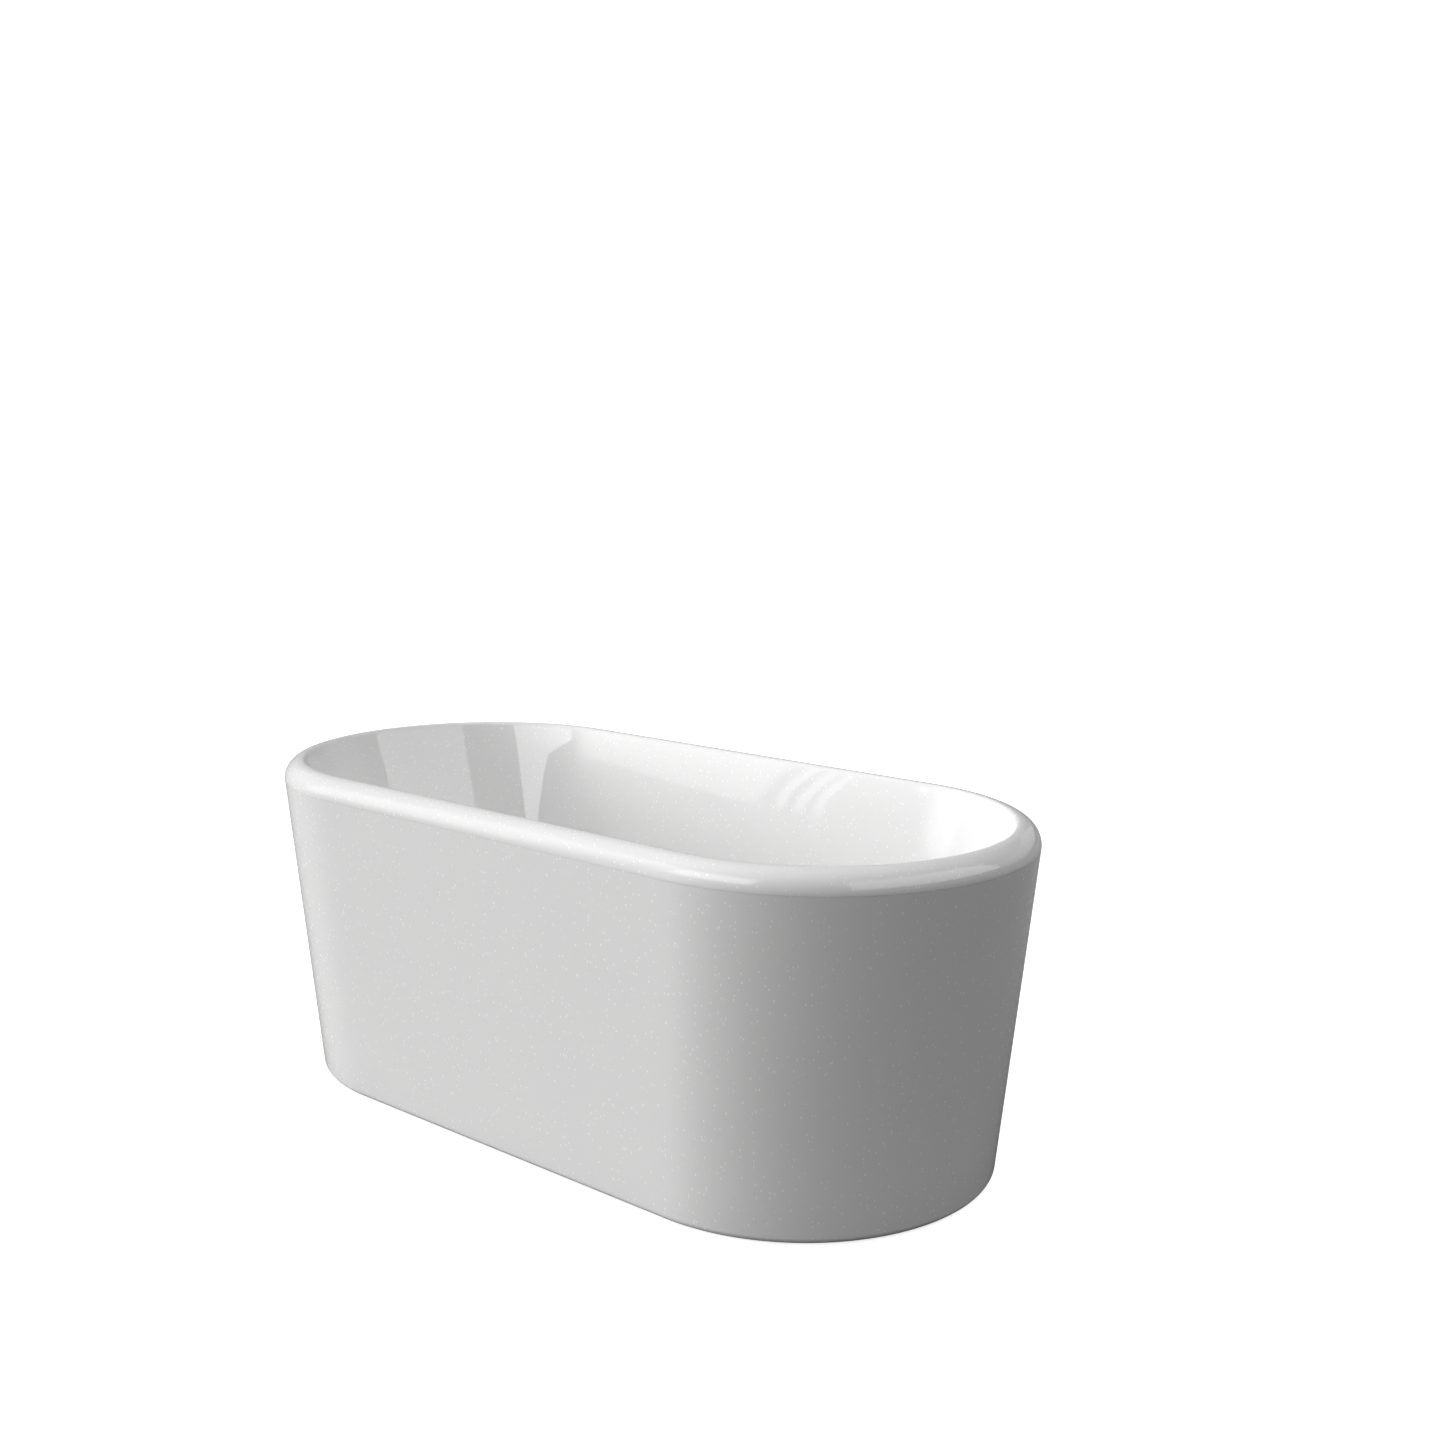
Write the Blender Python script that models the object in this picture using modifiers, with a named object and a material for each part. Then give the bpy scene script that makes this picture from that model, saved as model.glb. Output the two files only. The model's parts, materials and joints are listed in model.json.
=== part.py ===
"""A freestanding double-skinned acrylic bathtub, stadium shaped in plan, with a rolled rim.

Metres, +Z up. The origin is on the floor at the middle of the bath, and +X runs along its length.
The basin is one lofted shell with the rolled rim. The outer skirt hangs from the rim's seam.
A welded steel frame under the basin stands on four levelling feet, a click-clack waste sits in the
middle of the basin's floor, and an overflow in the -Y wall drains into it through a hose.
"""

import math

import bmesh
import bpy
from mathutils import Matrix, Vector

# Overall size
LENGTH = 1.500
WIDTH = 0.700
HEIGHT = 0.585

# Outer skin
END_TAPER = 0.055          # how far each end leans in between the rim and the floor
SIDE_TAPER = 0.026         # the same for each long side
SKIRT_WALL = 0.005
SKIRT_CLEARANCE = 0.002    # between the skirt's lower edge and the floor
SKIRT_EDGE_RADIUS = 0.012
SKIRT_LIP = 0.020          # flat lip that turns inwards under the skirt

# Rolled rim
RIM_RADIUS = 0.034         # outer roll, from the crease to the top
RIM_INNER_RADIUS = 0.008   # small roll into the well
ROLL_END = math.radians(72)  # angle that the small roll turns through
SEAM_DROP = 0.001          # seam between basin and skirt, just under the crease

# Well of the basin
BASIN_WALL = 0.006
WELL_END_INSET = 0.211     # from the bath's end to the well's end wall, down at the floor
WELL_SIDE_INSET = 0.131    # the same for the long walls
FLOOR_Z = 0.155            # top of the floor beside the waste
FLOOR_FALL = 0.004         # fall of the floor from its edge to the waste
FLOOR_FILLET_RISE = 0.090
FLOOR_FILLET_REACH = 0.084
RECESS_DEPTH = 0.004
RECESS_CLEARANCE = 0.003   # round the waste's flange

# Bonded strip behind the seam
STRIP_WALL = 0.004
STRIP_BELOW = 0.020
STRIP_ABOVE = 0.004

# Bonding layer, baseboard and steel frame
BED_THICKNESS = 0.002      # at its thinnest, beside the waste
BED_INNER = 0.16           # its inner edge, as a share of the way from the recess to the floor's edge
BOARD_SHARE = 0.90         # the same for the outer edge of the bonding layer and the board
BOARD_THICKNESS = 0.018
BOARD_HOLE_CLEARANCE = 0.010  # round the waste body's flange
BOX_SIZE = 0.025           # square steel tube
BOX_WALL = 0.002
RAIL_INSET = 0.010         # from the board's edge to the rails' middle
END_BAR_INSET = 0.390      # from the bath's end to the middle of the end bar
END_BAR_SIDE_GAP = 0.035   # from the end of the bar to the skirt's inner face
INNER_BAR_SPACING = 0.165  # from the end bar to the inner one
SCREW_SPACING = 0.090      # from the end bar to the board's screw
SCREW_RADIUS = 0.00225
SCREW_HEAD_RADIUS = 0.0045
SCREW_HEAD_HEIGHT = 0.0025
SCREW_BITE = 0.012         # length of a screw in the board
CAP_PLATE = 0.002
CAP_PLUG = 0.010

# Brackets between the end bars and the skirt
BRACKET_WIDTH = 0.030
BRACKET_LEAF = 0.002
BRACKET_RISE = 0.045
BRACKET_FOOT = 0.050       # length of the leaf that lies on the bar
BOLT_RADIUS = 0.003
BOLT_HEAD_RADIUS = 0.0055
BOLT_HEAD_HEIGHT = 0.004
BOLT_LENGTH = 0.012

# Levelling feet
FOOT_INSET = 0.090         # from the end of the bar to the foot
STEM_RADIUS = 0.006
STEM_ABOVE_BAR = 0.020     # stem left above the bar, the travel of the foot
PAD_RADIUS = 0.025
PAD_HEIGHT = 0.014
PAD_FLOOR = 0.004          # material under the end of the stem
NUT_RADIUS = 0.0105        # across the corners
WELD_NUT_HEIGHT = 0.010
LOCK_NUT_HEIGHT = 0.006

# Click-clack waste
FLANGE_OVERLAP = 0.0095    # of the flange on the floor round the drain hole
FLANGE_LIP = 0.003
FLANGE_TUBE_RADIUS = 0.0235
FLANGE_TUBE_WALL = 0.0035
DRAIN_CLEARANCE = 0.002    # between the tube and the drain hole
FLANGE_TUBE_LENGTH = 0.045
FLANGE_GASKET = 0.0015
HUB_RADIUS = 0.0085
HUB_HEIGHT = 0.010
SPOKE_WIDTH = 0.003
CARTRIDGE_RADIUS = 0.0062
CARTRIDGE_BORE = 0.0050
CARTRIDGE_LENGTH = 0.041
CARTRIDGE_END = 0.002
CAP_INSET = 0.003          # of the cap's edge from the flange's edge
CAP_EDGE = 0.003
CAP_DOME = 0.006
CAP_TRAVEL = 0.010
CAP_SOCKET = 0.0035
SEAL_CLEARANCE = 0.001     # between the seal and the flange's bore
SEAL_WIDTH = 0.007
SEAL_HEIGHT = 0.003
CAP_STEM_RADIUS = 0.003
PISTON_HEIGHT = 0.003
SPRING_WIRE_RADIUS = 0.0005
SPRING_TURNS = 7
BODY_GASKET = 0.003
BODY_FLANGE_OVERLAP = 0.0105
BODY_FLANGE = 0.004
BODY_WALL = 0.004
BODY_BELOW_INLET = 0.021
TAIL_RADIUS = 0.0215
TAIL_WALL = 0.004
TAIL_LENGTH = 0.026
TAIL_SHOULDER = 0.008

# Overflow and its hose
OVERFLOW_BELOW_RIM = 0.095
OVERFLOW_HOLE_RADIUS = 0.027
OVERFLOW_COVER_OVERLAP = 0.008
OVERFLOW_COVER_DEPTH = 0.012
OVERFLOW_COVER_WALL = 0.002
OVERFLOW_COVER_GAP = 0.003 # water slot between the cover's edge and the wall
ELBOW_OVERLAP = 0.006
ELBOW_WALL = 0.003
ELBOW_POST_RADIUS = 0.006
OVERFLOW_GASKET = 0.0025
OVERFLOW_BOLT_RADIUS = 0.0025
OVERFLOW_BOLT_HEAD = 0.007
OVERFLOW_BOLT_BITE = 0.012   # length of the bolt in the elbow's post
SPIGOT_RADIUS = 0.0130
SPIGOT_WALL = 0.0025
SPIGOT_LENGTH = 0.020
HOSE_RADIUS = 0.0140
HOSE_WALL = 0.0030
HOSE_BEND_RADIUS = 0.070
HOSE_CLEARANCE = 0.003     # between the hose's lower nut and the rail above it
HOSE_NUT_WALL = 0.0035
HOSE_NUT_LENGTH = 0.022
HOSE_NUT_CLEARANCE = 0.0015  # between the upper nut and the basin

GAP = 0.0003               # between solids that touch
ARC_STEPS = 20             # facets in each half-round end
ROUND = 24                 # facets in a large turned piece
SMALL_ROUND = 12           # facets in a small one
OVER = 0.004               # how far a cutter runs past a face

RIM_CREASE_Z = HEIGHT - RIM_RADIUS
SEAM_Z = RIM_CREASE_Z - SEAM_DROP
RECESS_Z = FLOOR_Z - RECESS_DEPTH
RECESS_UNDERSIDE_Z = RECESS_Z - BASIN_WALL
BOARD_TOP_Z = FLOOR_Z - BASIN_WALL - BED_THICKNESS - 2 * GAP
BAR_TOP_Z = BOARD_TOP_Z - BOARD_THICKNESS - GAP
BAR_BOTTOM_Z = BAR_TOP_Z - BOX_SIZE
BAR_MIDDLE_Z = BAR_TOP_Z - BOX_SIZE / 2
DRAIN_HOLE_RADIUS = FLANGE_TUBE_RADIUS + DRAIN_CLEARANCE
FLANGE_BORE_RADIUS = FLANGE_TUBE_RADIUS - FLANGE_TUBE_WALL
FLANGE_RADIUS = DRAIN_HOLE_RADIUS + FLANGE_OVERLAP
BODY_FLANGE_RADIUS = DRAIN_HOLE_RADIUS + BODY_FLANGE_OVERLAP
RECESS_RADIUS = FLANGE_RADIUS + RECESS_CLEARANCE
CAP_RADIUS = FLANGE_RADIUS - CAP_INSET
SEAL_RADIUS = FLANGE_BORE_RADIUS - SEAL_CLEARANCE
OVERFLOW_COVER_RADIUS = OVERFLOW_HOLE_RADIUS + OVERFLOW_COVER_OVERLAP
ELBOW_RADIUS = OVERFLOW_HOLE_RADIUS + ELBOW_OVERLAP
HOSE_NUT_BORE_RADIUS = HOSE_RADIUS + 2 * GAP
HOSE_NUT_RADIUS = HOSE_NUT_BORE_RADIUS + HOSE_NUT_WALL
INLET_Z = BAR_BOTTOM_Z - HOSE_NUT_RADIUS - HOSE_CLEARANCE
BODY_BOTTOM_Z = INLET_Z - BODY_BELOW_INLET
TAIL_TOP_Z = BODY_BOTTOM_Z - TAIL_SHOULDER
TAIL_END_Z = TAIL_TOP_Z - TAIL_LENGTH
END_BAR_X = LENGTH / 2 - END_BAR_INSET
INNER_BAR_X = END_BAR_X - INNER_BAR_SPACING
SCREW_X = END_BAR_X - SCREW_SPACING


# ---------------------------------------------------------------- scene and materials

def clear_scene():
    for obj in list(bpy.data.objects):
        bpy.data.objects.remove(obj)


def new_collection(name):
    collection = bpy.data.collections.new(name)
    bpy.context.scene.collection.children.link(collection)
    return collection


def new_material(name, colour, roughness, metallic=0.0):
    material = bpy.data.materials.new(name)
    material.use_nodes = True
    shader = material.node_tree.nodes["Principled BSDF"]
    shader.inputs["Base Color"].default_value = (*colour, 1.0)
    shader.inputs["Roughness"].default_value = roughness
    shader.inputs["Metallic"].default_value = metallic
    return material


clear_scene()
TUB = new_collection("bathtub")
CUTTERS = new_collection("cutters")

ACRYLIC = new_material("white acrylic", (0.90, 0.90, 0.89), 0.08)
BONDING = new_material("bonding paste", (0.72, 0.70, 0.62), 0.70)
BOARD = new_material("sealed particle board", (0.62, 0.52, 0.36), 0.75)
FRAME_PAINT = new_material("grey powder coat", (0.22, 0.23, 0.24), 0.45, 0.3)
ZINC = new_material("zinc plated steel", (0.70, 0.71, 0.72), 0.30, 1.0)
BLACK_PLASTIC = new_material("black nylon", (0.03, 0.03, 0.03), 0.50)
CHROME = new_material("chrome plate", (0.85, 0.86, 0.87), 0.06, 1.0)
RUBBER = new_material("black rubber", (0.04, 0.04, 0.04), 0.80)
WHITE_PLASTIC = new_material("white polypropylene", (0.82, 0.82, 0.80), 0.40)
HOSE_PLASTIC = new_material("grey hose plastic", (0.55, 0.56, 0.57), 0.45)
SPRING_STEEL = new_material("spring steel", (0.60, 0.60, 0.62), 0.25, 1.0)


# ---------------------------------------------------------------- helpers

def add_object(name, mesh, material=None, collection=None):
    obj = bpy.data.objects.new(name, mesh)
    (collection or TUB).objects.link(obj)
    if material:
        mesh.materials.append(material)
    return obj


def move_to(obj, collection):
    for old in list(obj.users_collection):
        old.objects.unlink(obj)
    collection.objects.link(obj)


def shade(obj):
    obj.data.shade_smooth()
    obj.data.set_sharp_from_angle(angle=math.radians(35))
    return obj


def hide_as_cutter(obj):
    move_to(obj, CUTTERS)
    obj.hide_render = True
    obj.display_type = "WIRE"
    return obj


def cylinder(name, radius, depth, location, rotation=(0, 0, 0), sides=SMALL_ROUND):
    bpy.ops.mesh.primitive_cylinder_add(vertices=sides, radius=radius, depth=depth,
                                        location=location, rotation=rotation)
    obj = bpy.context.object
    obj.name = name
    return obj


def block(name, size, location):
    bpy.ops.mesh.primitive_cube_add(size=1, location=location)
    obj = bpy.context.object
    obj.name = name
    obj.data.transform(Matrix.Diagonal((*size, 1)))
    return obj


def as_part(obj, material):
    move_to(obj, TUB)
    obj.data.materials.clear()
    obj.data.materials.append(material)
    return obj


def boolean(obj, other, operation="DIFFERENCE"):
    hide_as_cutter(other)
    modifier = obj.modifiers.new(operation.title() + " " + other.name, "BOOLEAN")
    modifier.operation = operation
    modifier.object = other
    modifier.solver = "EXACT"
    return obj


def turned(name, profile, material, sides=ROUND, closed=True):
    """A turned piece about Z. The profile holds (radius, z) points, and runs down its outer side."""
    mesh = bpy.data.meshes.new(name)
    count = len(profile)
    edges = [(i, i + 1) for i in range(count - 1)]
    if closed:
        edges.append((count - 1, 0))
    mesh.from_pydata([(radius, 0, z) for radius, z in profile], edges, [])
    obj = add_object(name, mesh, material)
    screw = obj.modifiers.new("Turn", "SCREW")
    screw.axis = "Z"
    screw.steps = sides
    screw.render_steps = sides
    screw.use_merge_vertices = True
    screw.merge_threshold = 0.00005
    screw.use_smooth_shade = True
    return obj


def ring_piece(name, outer, inner, bottom, top, material, sides=ROUND):
    return turned(name, [(outer, top), (outer, bottom), (inner, bottom), (inner, top)], material, sides)


def stadium(half_length, half_width, z):
    """Points of one section, anticlockwise seen from above: two half circles joined by straight sides."""
    centre = max(half_length - half_width, 0.0)
    points = []
    for side, start in ((1, -90), (-1, 90)):
        for step in range(ARC_STEPS + 1):
            angle = math.radians(start + 180 * step / ARC_STEPS)
            x = side * centre + half_width * math.cos(angle)
            points.append((x, half_width * math.sin(angle), z))
    return points


def loft(name, sections, material):
    """An open surface through (half length, half width, z) sections."""
    rings = [stadium(*section) for section in sections]
    around = len(rings[0])
    points = [point for ring in rings for point in ring]
    faces = []
    for row in range(len(rings) - 1):
        for i in range(around):
            here, beside = row * around + i, row * around + (i + 1) % around
            faces.append((here, beside, beside + around, here + around))
    mesh = bpy.data.meshes.new(name)
    mesh.from_pydata(points, [], faces)
    shape = bmesh.new()
    shape.from_mesh(mesh)
    bmesh.ops.remove_doubles(shape, verts=shape.verts, dist=0.00001)
    shape.to_mesh(mesh)
    shape.free()
    return shade(add_object(name, mesh, material))


def thicken(obj, wall):
    solidify = obj.modifiers.new("Wall", "SOLIDIFY")
    solidify.thickness = wall
    solidify.offset = -1
    solidify.use_even_offset = True
    return obj


def mesh_from_curve(name, guide):
    """A closed mesh of a curve object, with the caps' loose edges welded."""
    bpy.context.view_layer.update()
    graph = bpy.context.evaluated_depsgraph_get()
    mesh = bpy.data.meshes.new_from_object(guide.evaluated_get(graph))
    mesh.name = name
    shape = bmesh.new()
    shape.from_mesh(mesh)
    bmesh.ops.remove_doubles(shape, verts=shape.verts, dist=0.00001)
    shape.to_mesh(mesh)
    shape.free()
    obj = add_object(name, mesh)
    obj.matrix_world = guide.matrix_world
    return obj


def plate(name, outline, thickness, material):
    """A flat piece: a filled outline in XY, as thick as stated, with its middle at Z = 0."""
    curve = bpy.data.curves.new(name, "CURVE")
    curve.dimensions = "2D"
    curve.fill_mode = "BOTH"
    curve.extrude = thickness / 2
    spline = curve.splines.new("POLY")
    spline.points.add(len(outline) - 1)
    spline.use_cyclic_u = True
    for point, (x, y) in zip(spline.points, outline):
        point.co = (x, y, 0, 1)
    guide = bpy.data.objects.new(name + " outline", curve)
    TUB.objects.link(guide)
    obj = as_part(mesh_from_curve(name, guide), material)
    bpy.data.objects.remove(guide)
    return obj


def headed(name, material, head_radius, head, radius, length):
    """A screw or bolt along Z, with the head's bearing face at Z = 0 and the shank below it."""
    profile = [(0, head), (head_radius, head), (head_radius, 0), (radius, 0), (radius, -length), (0, -length)]
    return turned(name, profile, material, SMALL_ROUND)


def nut(name, height, location):
    """A hexagon nut whose bore clears the foot's stem."""
    obj = as_part(cylinder(name, NUT_RADIUS, height, location, sides=6), ZINC)
    return boolean(obj, cylinder(name + " thread", STEM_RADIUS + GAP, height + 2 * OVER, location))


# ---------------------------------------------------------------- outer and inner skin

def outer_section(z):
    """Half length and half width of the outer skin, which leans in evenly below the rim's crease."""
    share = (RIM_CREASE_Z - z) / RIM_CREASE_Z
    return LENGTH / 2 - END_TAPER * share, WIDTH / 2 - SIDE_TAPER * share


WELL_TOP_Z = HEIGHT - RIM_INNER_RADIUS * (1 - math.cos(ROLL_END))
WELL_TOP_INSET = RIM_RADIUS + RIM_INNER_RADIUS * math.sin(ROLL_END)
WELL_TOP = (LENGTH / 2 - WELL_TOP_INSET, WIDTH / 2 - WELL_TOP_INSET)
WELL_FOOT = (LENGTH / 2 - WELL_END_INSET, WIDTH / 2 - WELL_SIDE_INSET)
WELL_FOOT_Z = FLOOR_Z + FLOOR_FALL
SIDE_LEAN = math.atan((WELL_TOP[1] - WELL_FOOT[1]) / (WELL_TOP_Z - WELL_FOOT_Z))


def well_section(z):
    """Half length and half width of the well's straight wall at a height."""
    share = (WELL_TOP_Z - z) / (WELL_TOP_Z - WELL_FOOT_Z)
    return [top + (foot - top) * share for top, foot in zip(WELL_TOP, WELL_FOOT)]


def floor_edge():
    """Half length and half width where the wall's fillet runs out into the floor."""
    return [size - FLOOR_FILLET_REACH for size in WELL_FOOT]


def floor_section(share):
    """One section of the floor, at a share of the way from the waste's recess to the fillet."""
    half_length, half_width = floor_edge()
    return (RECESS_RADIUS + (half_length - RECESS_RADIUS) * share,
            RECESS_RADIUS + (half_width - RECESS_RADIUS) * share, FLOOR_Z + FLOOR_FALL * share)


def rim_sections():
    """From the seam, up round the outer roll and down the small inner roll."""
    sections = []
    for z in (SEAM_Z + GAP / 2, RIM_CREASE_Z):
        sections.append((*outer_section(z), z))
    roll_steps = 6
    for step in range(1, roll_steps + 1):
        angle = math.pi / 2 * step / roll_steps
        inset = RIM_RADIUS * (1 - math.cos(angle))
        z = RIM_CREASE_Z + RIM_RADIUS * math.sin(angle)
        sections.append((LENGTH / 2 - inset, WIDTH / 2 - inset, z))
    inner_steps = 3
    for step in range(1, inner_steps + 1):
        angle = ROLL_END * step / inner_steps
        inset = RIM_RADIUS + RIM_INNER_RADIUS * math.sin(angle)
        z = HEIGHT - RIM_INNER_RADIUS * (1 - math.cos(angle))
        sections.append((LENGTH / 2 - inset, WIDTH / 2 - inset, z))
    return sections


def well_sections():
    """Down the wall, round the fillet, and over the falling floor to the waste's recess."""
    fillet_top = WELL_FOOT_Z + FLOOR_FILLET_RISE
    wall_rows = 3
    sections = []
    for row in range(1, wall_rows + 1):
        z = WELL_TOP_Z + (fillet_top - WELL_TOP_Z) * row / wall_rows
        sections.append((*well_section(z), z))
    start, corner, end = well_section(fillet_top), WELL_FOOT, floor_edge()
    fillet_steps = 6
    for step in range(1, fillet_steps + 1):
        t = step / fillet_steps
        weights = ((1 - t) ** 2, 2 * t * (1 - t), t ** 2)
        size = [weights[0] * start[i] + weights[1] * corner[i] + weights[2] * end[i] for i in range(2)]
        sections.append((*size, weights[0] * fillet_top + (1 - weights[0]) * WELL_FOOT_Z))
    for share in (0.5, 0.0):
        sections.append(floor_section(share))
    recess_foot = RECESS_RADIUS - RECESS_DEPTH / 4
    for radius in (recess_foot, DRAIN_HOLE_RADIUS):
        sections.append((radius, radius, RECESS_Z))
    return sections


def overflow_point():
    """Where the overflow's axis meets the well's -Y wall, and that wall's inward normal."""
    z = HEIGHT - OVERFLOW_BELOW_RIM
    normal = Vector((0, math.cos(SIDE_LEAN), math.sin(SIDE_LEAN)))
    return Vector((0, -well_section(z)[1], z)), normal


def build_basin():
    basin = thicken(loft("basin", rim_sections() + well_sections(), ACRYLIC), BASIN_WALL)
    centre, normal = overflow_point()
    hole = cylinder("overflow hole", OVERFLOW_HOLE_RADIUS, 6 * BASIN_WALL, centre, sides=ROUND)
    hole.rotation_mode = "QUATERNION"
    hole.rotation_quaternion = normal.to_track_quat("Z", "Y")
    return boolean(basin, hole)


def build_skirt():
    sections = []
    length, width = outer_section(SKIRT_CLEARANCE)
    lip = SKIRT_EDGE_RADIUS + SKIRT_LIP
    sections.append((length - lip, width - lip, SKIRT_CLEARANCE))
    edge_steps = 4
    for step in range(edge_steps + 1):
        angle = math.pi / 2 * step / edge_steps
        inset = SKIRT_EDGE_RADIUS * (1 - math.sin(angle))
        z = SKIRT_CLEARANCE + SKIRT_EDGE_RADIUS * (1 - math.cos(angle))
        length, width = outer_section(z)
        sections.append((length - inset, width - inset, z))
    wall_rows = 3
    for row in range(1, wall_rows + 1):
        low, high = SKIRT_CLEARANCE + SKIRT_EDGE_RADIUS, SEAM_Z - GAP / 2
        z = low + (high - low) * row / wall_rows
        sections.append((*outer_section(z), z))
    return thicken(loft("outer_skirt", sections, ACRYLIC), SKIRT_WALL)


def build_joint_strip():
    sections = []
    for z in (SEAM_Z - STRIP_BELOW, SEAM_Z + STRIP_ABOVE):
        length, width = outer_section(min(z, SEAM_Z))
        inset = max(BASIN_WALL, SKIRT_WALL) + 2 * GAP
        sections.append((length - inset, width - inset, z))
    return thicken(loft("rim_joint_strip", sections, BONDING), STRIP_WALL)


# ---------------------------------------------------------------- baseboard and frame

def corners():
    """The four quarters of the bath: number, x sign and y sign."""
    signs = [(sx, sy) for sx in (-1, 1) for sy in (-1, 1)]
    return [(number, sx, sy) for number, (sx, sy) in enumerate(signs, 1)]


def rail_y():
    return floor_section(BOARD_SHARE)[1] - RAIL_INSET


def build_bonding_bed():
    """A layer that fills the wedge between the falling floor and the flat board."""
    bottom = BOARD_TOP_Z + GAP
    top = []
    for share in (BED_INNER, BOARD_SHARE):
        half_length, half_width, z = floor_section(share)
        top.append((half_length, half_width, z - BASIN_WALL - GAP))
    under = [(half_length, half_width, bottom) for half_length, half_width, z in reversed(top)]
    return loft("floor_bonding_bed", top[::-1] + under[::-1] + top[1:], BONDING)


def build_board():
    middle = BOARD_TOP_Z - BOARD_THICKNESS / 2
    outline = [(x, y) for x, y, z in stadium(*floor_section(BOARD_SHARE))]
    board = plate("base_board", outline, BOARD_THICKNESS, BOARD)
    board.location.z = middle
    hole_radius = BODY_FLANGE_RADIUS + BOARD_HOLE_CLEARANCE
    boolean(board, cylinder("board waste hole", hole_radius, BOARD_THICKNESS + 2 * OVER,
                            (0, 0, middle), sides=ROUND))
    depth = SCREW_BITE + GAP + OVER
    for number, sx, sy in corners():
        z = BOARD_TOP_Z - BOARD_THICKNESS - OVER + depth / 2
        boolean(board, cylinder(f"board screw hole {number}", SCREW_RADIUS + GAP, depth,
                                (sx * SCREW_X, sy * rail_y(), z)))
    return board


def box_tube(name, length, location, along):
    """A square steel tube, open at both ends."""
    size = [BOX_SIZE] * 3
    size[along] = length
    inside = [BOX_SIZE - 2 * BOX_WALL] * 3
    inside[along] = length + 2 * OVER
    tube = as_part(block(name, size, location), FRAME_PAINT)
    return boolean(tube, block(name + " inside", inside, location))


def build_rails():
    length = 2 * (END_BAR_X - BOX_SIZE / 2 - GAP)
    for name, side in (("rail_front", -1), ("rail_rear", 1)):
        y = side * rail_y()
        rail = box_tube(name, length, (0, y, BAR_MIDDLE_Z), 0)
        for end in (-1, 1):
            boolean(rail, cylinder(f"{name} hole {end}", SCREW_RADIUS + GAP, BOX_SIZE + 2 * OVER,
                                   (end * SCREW_X, y, BAR_MIDDLE_Z)))


def end_bar_half_length():
    return outer_section(BAR_MIDDLE_Z)[1] - SKIRT_WALL - END_BAR_SIDE_GAP


def foot_y():
    return end_bar_half_length() - FOOT_INSET


def bracket_bolt_y():
    return end_bar_half_length() - BRACKET_FOOT / 2


def build_crossbars():
    inner_length = 2 * (rail_y() - BOX_SIZE / 2 - GAP)
    for name, side in (("left", -1), ("right", 1)):
        x = side * END_BAR_X
        bar = box_tube("end_crossbar_" + name, 2 * end_bar_half_length(), (x, 0, BAR_MIDDLE_Z), 1)
        for row in (-1, 1):
            boolean(bar, cylinder(f"foot hole {name} {row}", STEM_RADIUS + GAP, BOX_SIZE + 2 * OVER,
                                  (x, row * foot_y(), BAR_MIDDLE_Z)))
            boolean(bar, cylinder(f"bolt hole {name} {row}", BOLT_RADIUS + GAP, BOX_SIZE / 2,
                                  (x, row * bracket_bolt_y(), BAR_TOP_Z)))
        box_tube("inner_crossbar_" + name, inner_length, (side * INNER_BAR_X, 0, BAR_MIDDLE_Z), 1)


def build_end_caps():
    """Plugs in the open ends of the two end bars."""
    plug = BOX_SIZE - 2 * BOX_WALL - 2 * GAP
    plug_length = CAP_PLUG + CAP_PLATE / 2
    for number, sx, sy in corners():
        x = sx * END_BAR_X
        middle = sy * (end_bar_half_length() + GAP + CAP_PLATE / 2)
        cap = as_part(block(f"crossbar_cap_{number}", (BOX_SIZE, CAP_PLATE, BOX_SIZE),
                            (x, middle, BAR_MIDDLE_Z)), BLACK_PLASTIC)
        boolean(cap, block(f"cap plug {number}", (plug, plug_length, plug),
                           (x, middle - sy * plug_length / 2, BAR_MIDDLE_Z)), "UNION")


def build_board_screws():
    length = BOX_SIZE + 2 * GAP + SCREW_BITE
    for number, sx, sy in corners():
        screw = headed(f"board_screw_{number}", ZINC, SCREW_HEAD_RADIUS, SCREW_HEAD_HEIGHT,
                       SCREW_RADIUS, length)
        screw.location = (sx * SCREW_X, sy * rail_y(), BAR_BOTTOM_Z - GAP)
        screw.rotation_euler.x = math.pi


def build_brackets():
    """Bent steel leaves from the end bars' tops to the skirt's inner face, which they follow."""
    foot_z = BAR_TOP_Z + GAP
    clear = SKIRT_WALL + 2 * GAP
    low = outer_section(foot_z)[1] - clear
    high = outer_section(foot_z + BRACKET_RISE)[1] - clear
    inner = end_bar_half_length() - BRACKET_FOOT
    outline = [(inner, 0), (low, 0), (high, BRACKET_RISE), (high - BRACKET_LEAF, BRACKET_RISE),
               (low - BRACKET_LEAF, BRACKET_LEAF), (inner, BRACKET_LEAF)]
    for number, sx, sy in corners():
        name = f"skirt_bracket_{number}"
        bracket = plate(name, outline, BRACKET_WIDTH, ZINC)
        bracket.location = (sx * END_BAR_X, 0, foot_z)
        bracket.rotation_euler = (math.pi / 2, 0, sy * math.pi / 2)
        boolean(bracket, cylinder(name + " hole", BOLT_RADIUS + GAP, 2 * OVER,
                                  (sx * END_BAR_X, sy * bracket_bolt_y(), foot_z)))


def build_bracket_bolts():
    seat = BAR_TOP_Z + 2 * GAP + BRACKET_LEAF
    for number, sx, sy in corners():
        bolt = headed(f"bracket_bolt_{number}", ZINC, BOLT_HEAD_RADIUS, BOLT_HEAD_HEIGHT,
                      BOLT_RADIUS, BOLT_LENGTH)
        bolt.location = (sx * END_BAR_X, sy * bracket_bolt_y(), seat)


# ---------------------------------------------------------------- levelling feet

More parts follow.
